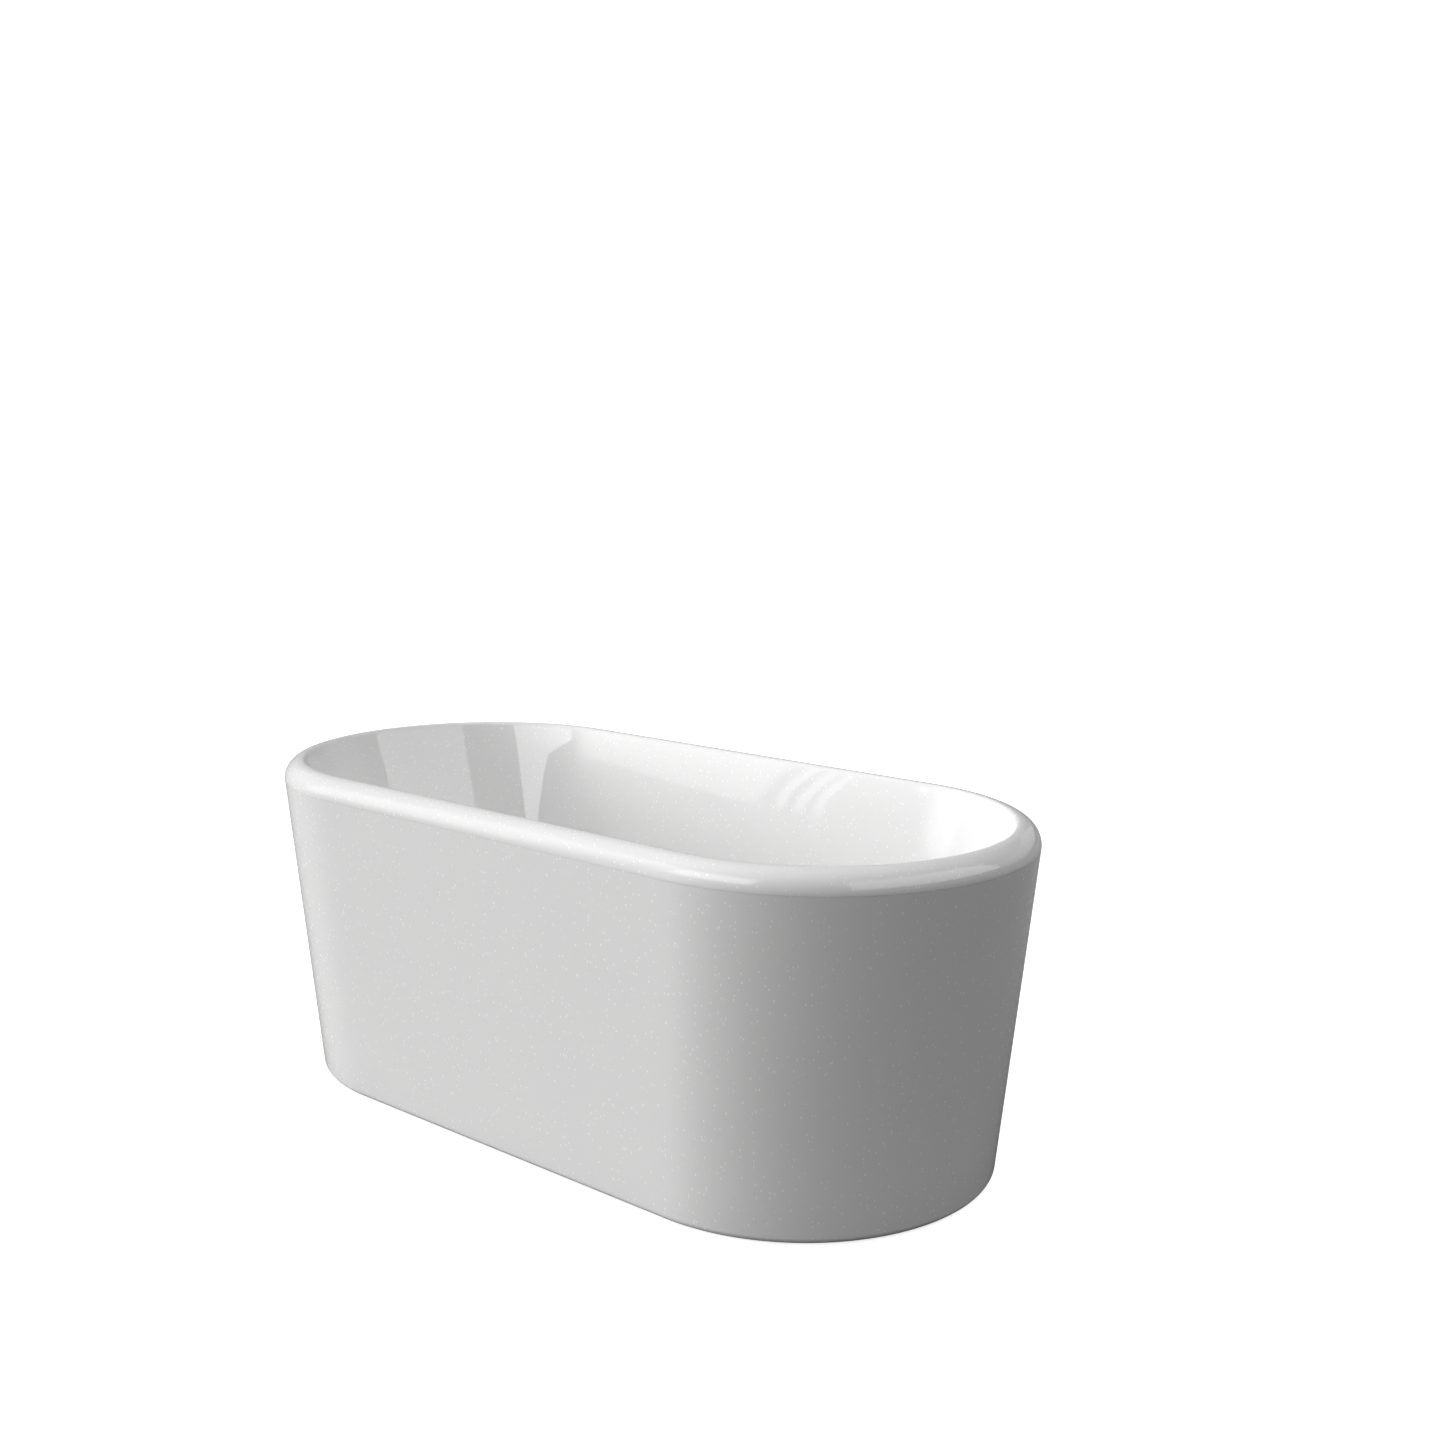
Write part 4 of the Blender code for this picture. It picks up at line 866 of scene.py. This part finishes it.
def make_board_screws():
    """Pan head screws with a cross recess, up through the rails into the board."""
    middle, low, high = place_of("board_screw_4")
    radius, head = SCREW_RADIUS, SCREW_HEAD_HEIGHT
    top = turned("screw_head", [(0, 0), (0.0026, 0.0001), (0.0040, 0.0010), (SCREW_HEAD_RADIUS, head),
                                (0, head)], "zinc_steel", sides=32, ease=0.0002)
    for turn in (0, math.pi / 2):
        slot = solid("recess", rounded_box(0.0044, 0.0010, 0.0002), 0.0026, "zinc_steel", ease=0.0001)
        carve(top, moved(slot, (0, 0, -0.0010), Matrix.Rotation(turn, 4, "Z")))
    shank = thread("screw_thread", radius, high.z - low.z - head - SCREW_TIP, SCREW_PITCH,
                   "zinc_steel", sides=16)
    moved(shank, (0, 0, head))
    tip = turned("screw_tip", [(0, -0.0002), (radius * 0.7, -0.0002), (0, SCREW_TIP)], "zinc_steel",
                 sides=16, ease=0)
    moved(tip, (0, 0, high.z - low.z - SCREW_TIP))
    screw = moved(join("screw", [top, shank, tip]), (0, 0, low.z))
    in_quarters(screw, "board_screws", "board_screw", 2 * middle.x, 2 * middle.y)


def make_brackets():
    """Bent steel leaves with rounded corners, bonded to the skirt with a pad of paste."""
    middle, low, high = place_of("skirt_bracket_4")
    leaf, bend, steps = BRACKET_LEAF, 0.004, 6
    inner, outer, top = low.y, outer_section(low.z)[1] - SKIRT_WALL - 2 * FACE_GAP, high.z - low.z
    far = outer_section(high.z)[1] - SKIRT_WALL - 2 * FACE_GAP
    rise = Vector((far - outer, top)).normalized()
    path = [Vector((inner, 0)), Vector(((inner + outer) / 2, 0))]
    corner = Vector((outer, 0))
    start, finish = corner - Vector((bend, 0)), corner + rise * bend
    for step in range(steps + 1):
        t = step / steps
        path.append(start * (1 - t) ** 2 + corner * 2 * t * (1 - t) + finish * t ** 2)
    path.append(corner + rise * (top / rise.y))
    half = (high.x - low.x) / 2
    points = [(x, p.x, low.z + p.y) for p in path for x in (-half, half)]
    faces = [(2 * i, 2 * i + 1, 2 * i + 3, 2 * i + 2) for i in range(len(path) - 1)]
    leaf_piece = new_object("leaf", points, faces=faces)
    leaf_piece.data.materials.append(FINISHES["zinc_steel"])
    thicken(leaf_piece, leaf, 1)
    ease_edges(leaf_piece, 0.0005, 2, 40)
    outward(freeze(leaf_piece))
    bolt = place_of("bracket_bolt_4")[0]
    hole = rod("hole", BOLT_RADIUS + FACE_GAP, -0.01, 0.02, "zinc_steel", sides=32)
    carve(leaf_piece, moved(hole, (0, bolt.y, low.z)))
    in_quarters(leaf_piece, "skirt_brackets", "skirt_bracket", 2 * middle.x, TWIN_GAP)


def make_bracket_bolts():
    """Hexagon head bolts with the top corners of the head turned off."""
    middle, low, high = place_of("bracket_bolt_4")
    head = solid("bolt_head", polygon(6, BOLT_HEAD_RADIUS, 0), BOLT_HEAD_HEIGHT, "zinc_steel", ease=0.0001)
    corner = BOLT_HEAD_RADIUS
    lens = turned("corners", [(0, 0), (corner, 0), (corner, BOLT_HEAD_HEIGHT - 0.0007),
                              (corner - 0.0010, BOLT_HEAD_HEIGHT), (0, BOLT_HEAD_HEIGHT)],
                  "zinc_steel", ease=0)
    carve(head, lens, "INTERSECT")
    moved(head, (0, 0, high.z - low.z - BOLT_HEAD_HEIGHT))
    shank = thread("bolt_thread", BOLT_RADIUS, high.z - low.z - BOLT_HEAD_HEIGHT, BOLT_PITCH,
                   "zinc_steel")
    bolt = moved(join("bolt", [head, shank]), (0, 0, low.z))
    in_quarters(bolt, "bracket_bolts", "bracket_bolt", 2 * middle.x, 2 * middle.y)


def make_board():
    """The sealed baseboard with eased edges and the hole for the waste."""
    low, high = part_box("base_board")
    length, width, ease = high.x, high.y, 0.0015
    hole = BODY_FLANGE_RADIUS + BOARD_HOLE_CLEARANCE
    line = [(length - ease, width - ease, low.z), (length, width, low.z + ease),
            (length, width, high.z - ease), (length - ease, width - ease, high.z),
            (hole, hole, high.z), (hole, hole, low.z)]
    board = new_object("baseboard", line + line[:1], [(i, i + 1) for i in range(len(line))])
    apply_tree(board, LOFT, Arc_Points=64, Finish=FINISHES["particle_board"])
    stand_for(outward(freeze(board, 20)), "particle_board", "base_board")


# ---------------------------------------------------------------- levelling feet

def make_feet():
    """Threaded stems with ribbed pads that move with their joints."""
    for number in range(1, IN_A_SET + 1):
        middle, low, high = place_of(f"foot_stem_{number}")
        stem = thread(f"levelling_stem_{number}", STEM_RADIUS, high.z - low.z, STEM_PITCH, "zinc_steel")
        stand_for(moved(stem, (middle.x, middle.y, low.z)), "zinc_steel", f"foot_stem_{number}")
        middle, low, high = place_of(f"foot_pad_{number}")
        stand_for(moved(foot_pad(f"levelling_pad_{number}", high.z), (middle.x, middle.y, 0)),
                  "black_nylon", f"foot_pad_{number}")


def foot_pad(name, height):
    collar, bore = STEM_RADIUS + 0.005, STEM_RADIUS + FACE_GAP
    profile = [(0, 0), (PAD_RADIUS, 0), (PAD_RADIUS, 0.003), (PAD_RADIUS - 0.002, 0.005),
               (collar + 0.002, height - 0.004), (collar, height), (bore, height), (bore, PAD_FLOOR),
               (0, PAD_FLOOR)]
    disc = turned(name + "_disc", profile, "black_nylon", sides=64, ease=0.0008)
    outline = [(collar - 0.001, 0.004), (PAD_RADIUS - 0.003, 0.004), (PAD_RADIUS - 0.003, 0.0062),
               (collar + 0.001, height - 0.001), (collar - 0.001, height - 0.001)]
    rib = solid(name + "_rib", outline, PAD_RIB_WIDTH, "black_nylon", ease=0.0003)
    moved(rib, (0, PAD_RIB_WIDTH / 2, 0), Matrix.Rotation(math.pi / 2, 4, "X"))
    spaced_round(rib, PAD_RIBS, "black_nylon")
    return join(name, [disc, rib])


def make_foot_nuts():
    """Weld nuts under the bars, and the lock nuts under them."""
    for prefix in ("foot_weld_nut", "foot_lock_nut"):
        middle, low, high = place_of(prefix + "_4")
        nut = hexagon_nut(prefix + "s", NUT_RADIUS, STEM_RADIUS + FACE_GAP, high.z - low.z)
        in_quarters(moved(nut, (0, 0, low.z)), prefix + "s", prefix, 2 * middle.x, 2 * middle.y)


# ---------------------------------------------------------------- click-clack waste

def make_waste():
    low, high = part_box("waste_flange")
    radius, tube, bore = high.x, FLANGE_TUBE_RADIUS, FLANGE_TUBE_RADIUS - FLANGE_TUBE_WALL
    mouth, seat = bore + 0.002, high.z - FLANGE_LIP
    profile = [(radius - 0.004, high.z), (radius, high.z - 0.002), (radius, seat), (tube, seat),
               (tube, low.z), (bore, low.z), (bore, seat - 0.004), (mouth, high.z - 0.001),
               (mouth + 0.001, high.z)]
    flange = turned("flange_ring", profile, "chrome_plate", sides=96, ease=0.0005)
    hub_z = low.z + 0.4 * (seat - low.z)
    hub = ring("flange_hub", HUB_RADIUS, CARTRIDGE_RADIUS + FACE_GAP, hub_z - 0.005, hub_z + 0.005,
               "chrome_plate")
    near, far, half = HUB_RADIUS - 0.001, bore + 0.001, SPOKE_WIDTH / 2
    spoke = solid("spoke", [(near, -half), (far, -half), (far, half), (near, half)], SPOKE_HEIGHT,
                  "chrome_plate", ease=0.0004)
    spaced_round(moved(spoke, (0, 0, hub_z - SPOKE_HEIGHT / 2)), SPOKES, "chrome_plate")
    stand_for(join("waste_flange_polished", [flange, hub, spoke]), "chrome_plate", "waste_flange")
    make_cap()
    make_cartridge()
    make_spring()
    make_waste_body()


def make_cap():
    low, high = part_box("waste_cap")
    radius, edge, dome = high.x, CAP_EDGE, high.z - low.z - CAP_EDGE
    steps = 20
    profile = [(radius * math.sin(math.pi / 2 * step / steps),
                low.z + edge + dome * math.cos(math.pi / 2 * step / steps)) for step in range(steps + 1)]
    socket, under, depth = CAP_STEM_RADIUS + FACE_GAP, low.z + edge / 2, 0.0035
    profile += [(radius - 0.0005, low.z), (radius - 0.002, low.z), (radius - 0.003, under), (socket, under),
                (socket, under + depth), (0, under + depth)]
    stand_for(turned("waste_cap_polished", profile, "chrome_plate", sides=96, ease=0.0004),
              "chrome_plate", "waste_cap")
    low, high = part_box("waste_cap_seal")
    stand_for(ring("waste_cap_seal_ring", high.x, high.x - SEAL_WIDTH, low.z, high.z, "black_rubber",
                   sides=96, ease=0.0008), "black_rubber", "waste_cap_seal")
    low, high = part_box("waste_cap_stem")
    piston, foot = high.x, low.z + PISTON_HEIGHT
    profile = [(CAP_STEM_RADIUS, high.z), (CAP_STEM_RADIUS, foot), (piston, foot), (piston, low.z),
               (0, low.z), (0, high.z)]
    stand_for(turned("waste_cap_stem_turned", profile, "zinc_steel", ease=0.0003), "zinc_steel",
              "waste_cap_stem")


def make_cartridge():
    low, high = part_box("waste_cartridge")
    wall, neck = CARTRIDGE_RADIUS - CARTRIDGE_BORE, CAP_STEM_RADIUS + 2 * FACE_GAP
    inside = CARTRIDGE_RADIUS - wall
    profile = [(CARTRIDGE_RADIUS, high.z), (CARTRIDGE_RADIUS, low.z), (0, low.z), (0, low.z + 0.002),
               (inside, low.z + 0.002), (inside, high.z - 0.002), (neck, high.z - 0.002), (neck, high.z)]
    stand_for(turned("waste_cartridge_turned", profile, "zinc_steel", ease=0.0003), "zinc_steel",
              "waste_cartridge")


def make_spring():
    """The plug's coil spring, as one fixed coil."""
    low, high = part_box("waste_spring")
    radius = high.x - SPRING_WIRE_RADIUS
    start, rise = low.z + SPRING_WIRE_RADIUS, high.z - low.z - 2 * SPRING_WIRE_RADIUS
    points, count = [], SPRING_TURNS * 32
    for index in range(count + 1):
        turn = 2 * math.pi * SPRING_TURNS * index / count
        points.append((radius * math.cos(turn), radius * math.sin(turn), start + rise * index / count))
    spring = new_object("waste_spring_coil", points, [(i, i + 1) for i in range(count)])
    apply_tree(spring, HOSE, Radius=SPRING_WIRE_RADIUS, Rib_Depth=0.0, Sides=12,
               Finish=FINISHES["spring_steel"])
    stand_for(outward(freeze(spring, 60)), "spring_steel", "waste_spring")
    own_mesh(spring)


def make_waste_body():
    """The moulded body with stiffening ribs under its flange and a spigot for the hose."""
    low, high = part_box("waste_body")
    bore = FLANGE_TUBE_RADIUS + FACE_GAP
    outer, tail = bore + BODY_WALL, TAIL_RADIUS
    tail_top = low.z + TAIL_LENGTH
    bottom = tail_top + TAIL_SHOULDER
    profile = [(BODY_FLANGE_RADIUS, high.z), (BODY_FLANGE_RADIUS, high.z - BODY_FLANGE),
               (outer, high.z - BODY_FLANGE), (outer, bottom), (tail, tail_top), (tail, low.z),
               (tail - BODY_WALL, low.z), (tail - BODY_WALL, tail_top + BODY_WALL),
               (bore, bottom + BODY_WALL), (bore, high.z)]
    body = turned("body_shell", profile, "white_plastic", sides=96, ease=0.001)
    rib = solid("body_rib", [(outer - 0.001, 0), (outer + 0.006, 0), (outer - 0.001, -0.014)],
                BODY_RIB_WIDTH, "white_plastic", ease=0.0004)
    moved(rib, (0, BODY_RIB_WIDTH / 2, high.z - BODY_FLANGE + 0.0005), Matrix.Rotation(math.pi / 2, 4, "X"))
    spaced_round(rib, BODY_RIBS, "white_plastic")
    inlet = place_of("hose_nut_bottom")[0].z
    start, end = bore + BODY_WALL / 2, outer + SPIGOT_LENGTH
    way = SPIGOT_RADIUS - SPIGOT_WALL
    spigot = ring("inlet_spigot", SPIGOT_RADIUS, way, start, end, "white_plastic")
    moved(spigot, (0, 0, inlet), Matrix.Rotation(math.pi / 2, 4, "X"))
    stand_for(join("waste_body_moulded", [body, rib, spigot]), "white_plastic", "waste_body")


# ---------------------------------------------------------------- overflow

def overflow_place():
    """The overflow's axis: Z points into the well, and Y down along the wall."""
    z = HEIGHT - OVERFLOW_BELOW_RIM
    centre = Vector((0, -well_section(z)[1], z))
    across = Vector((1, 0, 0))
    down = OVERFLOW_NORMAL.cross(across)
    turn = Matrix((across, down, OVERFLOW_NORMAL)).transposed().to_4x4()
    return Matrix.Translation(centre) @ turn


def make_overflow():
    place = overflow_place()
    radius, wall, gap, face = OVERFLOW_COVER_RADIUS, COVER_WALL, OVERFLOW_COVER_GAP, COVER_FACE
    post = -(BASIN_WALL + OVERFLOW_GASKET + 2 * FACE_GAP) + ELBOW_WALL
    way = OVERFLOW_BOLT_RADIUS + FACE_GAP
    profile = [(way, face), (radius - 0.002, face), (radius, face - 0.002), (radius, gap),
               (radius - wall, gap), (radius - wall, face - wall), (way + wall, face - wall),
               (way + wall, post + FACE_GAP), (way, post + FACE_GAP)]
    cover = turned("overflow_cover_polished", profile, "chrome_plate", sides=96, ease=0.0009, place=place)
    stand_for(cover, "chrome_plate", "overflow_cover")
    head, end, wide = face + FACE_GAP, post - OVERFLOW_BOLT_BITE, OVERFLOW_BOLT_HEAD
    bolt = turned("bolt_dome", [(0, head + 0.003), (wide - 0.002, head + 0.003), (wide, head + 0.001),
                                (wide, head), (0, head)], "chrome_plate", ease=0.0006)
    socket = solid("socket", polygon(6, 0.0023), 0.002, "chrome_plate", ease=0.0001)
    carve(bolt, moved(socket, (0, 0, head + 0.0014)))
    shank = thread("bolt_thread", OVERFLOW_BOLT_RADIUS, head - end + 0.0005, OVERFLOW_BOLT_PITCH,
                   "chrome_plate")
    bolt = join("overflow_bolt_polished", [bolt, moved(shank, (0, 0, end))])
    bolt.data.transform(place)
    stand_for(bolt, "chrome_plate", "overflow_bolt")
    make_elbow(place)
    make_hose(place)


def make_elbow(place):
    front = -(BASIN_WALL + OVERFLOW_GASKET + 2 * FACE_GAP)
    axis = -(BASIN_WALL + HOSE_NUT_RADIUS + HOSE_NUT_CLEARANCE)
    back, floor = axis - SPIGOT_RADIUS - FACE_GAP, axis - SPIGOT_RADIUS - FACE_GAP + ELBOW_WALL
    radius, inner, post, way = ELBOW_RADIUS, OVERFLOW_HOLE_RADIUS, 0.006, OVERFLOW_BOLT_RADIUS + FACE_GAP
    top, thread_end = front + ELBOW_WALL, front + ELBOW_WALL - OVERFLOW_BOLT_BITE - 2 * FACE_GAP
    profile = [(radius, front), (radius, back), (0, back), (0, thread_end), (way, thread_end), (way, top),
               (post, top), (post, floor), (inner, floor), (inner, front)]
    cup = turned("elbow_cup", profile, "white_plastic", sides=96, ease=0.001)
    start, end = (inner + radius) / 2, radius + SPIGOT_LENGTH
    spigot = ring("elbow_spigot", SPIGOT_RADIUS, SPIGOT_RADIUS - SPIGOT_WALL, start, end, "white_plastic")
    moved(spigot, (0, 0, axis), Matrix.Rotation(-math.pi / 2, 4, "X"))
    elbow = join("overflow_elbow_moulded", [cup, spigot])
    elbow.data.transform(place)
    stand_for(elbow, "white_plastic", "overflow_elbow")


def grip_nut(name):
    """A hose nut about Z with grip ribs, middle at the origin."""
    half, bore = HOSE_NUT_LENGTH / 2, HOSE_RADIUS + 2 * FACE_GAP
    body = ring(name + "_body", HOSE_NUT_RADIUS - 0.0008, bore, -half, half, "white_plastic", ease=0.001)
    bar = rod(name + "_rib", GRIP_RIB_RADIUS, -half + 0.002, half - 0.002, "white_plastic", sides=12,
              ease=0.0004)
    moved(bar, (HOSE_NUT_RADIUS - GRIP_RIB_RADIUS, 0, 0))
    spaced_round(bar, GRIP_RIBS, "white_plastic")
    return join(name, [body, bar])


def make_hose(place):
    """The ribbed hose from the elbow down round one bend to the waste, and its two nuts."""
    axis = -(BASIN_WALL + HOSE_NUT_RADIUS + HOSE_NUT_CLEARANCE)
    spigot_end = ELBOW_RADIUS + SPIGOT_LENGTH
    down = Vector((0, math.sin(SIDE_LEAN), -math.cos(SIDE_LEAN)))
    start = place @ Vector((0, spigot_end + FACE_GAP, axis))
    inlet = place_of("hose_nut_bottom")[0].z
    end = Vector((0, -(FLANGE_TUBE_RADIUS + BODY_WALL + SPIGOT_LENGTH + 2 * FACE_GAP), inlet))
    corner = start + down * ((start.z - inlet) / -down.z)
    turn = down.angle(Vector((0, 1, 0)))
    setback = HOSE_BEND_RADIUS * math.tan(turn / 2)
    hub = corner - down * setback + down.cross(Vector((-1, 0, 0))) * HOSE_BEND_RADIUS
    out = corner - down * setback - hub
    steps = 32
    points = [start]
    points += [hub + Matrix.Rotation(turn * step / steps, 3, "X") @ out for step in range(steps + 1)]
    points.append(end)
    hose = new_object("overflow_hose_ribbed", points, [(i, i + 1) for i in range(len(points) - 1)])
    apply_tree(hose, HOSE, Radius=HOSE_RADIUS, Finish=FINISHES["hose_plastic"])
    stand_for(outward(freeze(hose, 60)), "hose_plastic", "overflow_hose")
    level = Matrix.Rotation(math.pi / 2, 4, "X")
    top = moved(grip_nut("hose_nut_top_moulded"), (0, spigot_end, axis), level)
    top.data.transform(place)
    stand_for(top, "white_plastic", "hose_nut_top")
    bottom = moved(grip_nut("hose_nut_bottom_moulded"), end, level)
    stand_for(bottom, "white_plastic", "hose_nut_bottom")


# ---------------------------------------------------------------- what stays as the CAD made it

def finish_cad_nodes():
    """Gives each CAD node the finish of its slot. Only those that no piece stands for are shown."""
    slots = {part["node"]: part["material_slot"] for part in frame["record"]["subparts"]}
    for name, node in frame["nodes"].items():
        node.data.materials.clear()
        node.data.materials.append(FINISHES[slots[name]])


# ---------------------------------------------------------------- studio

def look_from(azimuth, elevation):
    """A turn that faces a camera or light back along a direction."""
    back = Vector((math.sin(azimuth) * math.cos(elevation), -math.cos(azimuth) * math.cos(elevation),
                   math.sin(elevation)))
    right = Vector((math.cos(azimuth), math.sin(azimuth), 0))
    return Matrix((right, back.cross(right), back)).transposed().to_4x4()


def make_camera():
    camera = bpy.data.objects.new("camera", bpy.data.cameras.new("camera"))
    bpy.context.scene.collection.objects.link(camera)
    camera.data.sensor_width = 36
    camera.data.lens = CAMERA_LENS
    camera.data.shift_x, camera.data.shift_y = CAMERA_SHIFT
    camera.data.clip_end = 100
    camera.matrix_world = Matrix.Translation(CAMERA_PLACE) @ look_from(CAMERA_AZIMUTH, CAMERA_ELEVATION)
    bpy.context.scene.camera = camera


def make_world():
    """Soft glows that light matt surfaces, and the plain dim room that mirrors see instead."""
    world = bpy.data.worlds.new("studio")
    bpy.context.scene.world = world
    world.use_nodes = True
    tree = world.node_tree
    way = add(tree, "ShaderNodeTexCoord").outputs["Generated"]
    total = 0.0
    for azimuth, elevation, level in GLOWS:
        side, rise = math.radians(azimuth), math.radians(elevation)
        pole = (math.cos(side) * math.cos(rise), math.sin(side) * math.cos(rise), math.sin(rise))
        facing = add(tree, "ShaderNodeVectorMath", {0: way, 1: pole}, operation="DOT_PRODUCT")
        short = maths(tree, "SUBTRACT", facing.outputs["Value"], 1.0)
        falling = maths(tree, "MULTIPLY", short, GLOW_TIGHTNESS)
        total = maths(tree, "MULTIPLY_ADD", maths(tree, "EXPONENT", falling), level, total)
    mirrored = add(tree, "ShaderNodeLightPath").outputs["Is Glossy Ray"]
    height = add(tree, "ShaderNodeSeparateXYZ", {"Vector": way}).outputs[2]
    room = ramp(tree, height, 0.6, 1.0, SHEEN, CEILING)
    seen = add(tree, "ShaderNodeMix", {0: mirrored, 2: total, 3: room}, data_type="FLOAT")
    tree.links.new(seen.outputs[0], tree.nodes["Background"].inputs["Strength"])
    tree.nodes["Background"].inputs["Color"].default_value = (1, 1, 1, 1)


def make_plane(name, corners, colour, glow=0.0):
    plane = new_object(name, corners, faces=[(0, 1, 2, 3)])
    material, _, shader = new_finish(name + " paper", colour, 0.9)
    shader.inputs["Emission Color"].default_value = (1, 1, 1, 1)
    shader.inputs["Emission Strength"].default_value = glow
    plane.data.materials.append(material)
    return plane


def flat(half, z):
    return [(-half, -half, z), (half, -half, z), (half, half, z), (-half, half, z)]


def make_floor():
    """A floor with a glow of its own for the camera, and under it a dark sheet with painted shade that only
    the bath sees.
    """
    floor = make_plane("floor", flat(FLOOR_HALF, 0), (0.6, 0.6, 0.6), FLOOR_GLOW)
    floor.visible_diffuse = False
    floor.visible_glossy = False
    shade_sheet = make_plane("painted_shade_card", flat(FLOOR_HALF, -CARD_DROP), (0.2, 0.2, 0.2))
    tree = shade_sheet.data.materials[0].node_tree
    toward = (math.cos(DARK_SIDE), math.sin(DARK_SIDE), 0)
    way = add(tree, "ShaderNodeVectorMath", {0: on_object(tree), 1: toward}, operation="DOT_PRODUCT")
    # Painted shade: the sheet runs from light to nearly black towards DARK_SIDE, standing in for the floor's
    # shade as the bath sees it.
    shade = ramp(tree, way.outputs["Value"], -CARD_FALL, CARD_FALL, *PAINTED_SHADE_LEVELS)
    tree.links.new(shade, tree.nodes["Principled BSDF"].inputs["Base Color"])
    shade_sheet.visible_camera = False
    shade_sheet.visible_shadow = False


def make_dome():
    """A plain white backdrop all round, that only the camera sees."""
    bpy.ops.mesh.primitive_uv_sphere_add(segments=48, ring_count=24, radius=DOME_RADIUS)
    dome = bpy.context.object
    dome.name = "backdrop"
    material, _, shader = new_finish("backdrop paper", (0, 0, 0), 1.0)
    shader.inputs["Emission Color"].default_value = (1, 1, 1, 1)
    shader.inputs["Emission Strength"].default_value = 1.0
    dome.data.materials.append(material)
    for flag in ("visible_diffuse", "visible_glossy", "visible_transmission", "visible_shadow"):
        setattr(dome, flag, False)


def make_window(name, sides, rises, level):
    """A flat upright panel of light, placed as seen from the bath, that only reflections show."""
    low, high = (math.radians(side) for side in sides)
    width = 2 * WINDOW_REACH * math.tan((high - low) / 2)
    bottom, top = (HEIGHT + WINDOW_REACH * math.tan(math.radians(rise)) for rise in rises)
    light = bpy.data.lights.new(name, "AREA")
    light.shape = "RECTANGLE"
    light.size = width
    light.size_y = top - bottom
    light.energy = level * math.pi * width * (top - bottom)
    obj = bpy.data.objects.new(name, light)
    bpy.context.scene.collection.objects.link(obj)
    middle = (low + high) / 2
    place = Vector((math.cos(middle), math.sin(middle), 0)) * WINDOW_REACH
    place.z = (bottom + top) / 2
    obj.matrix_world = Matrix.Translation(place) @ look_from(middle + math.pi / 2, 0)
    obj.visible_camera = False
    obj.visible_diffuse = False


make_basin()
make_skirt()
make_board()
make_frame()
make_end_caps()
make_board_screws()
make_brackets()
make_bracket_bolts()
make_foot_nuts()
make_feet()
make_waste()
make_overflow()
finish_cad_nodes()
make_camera()
make_world()
make_floor()
make_dome()
for window in WINDOWS:
    make_window(*window)
bpy.context.scene.view_settings.view_transform = "Standard"
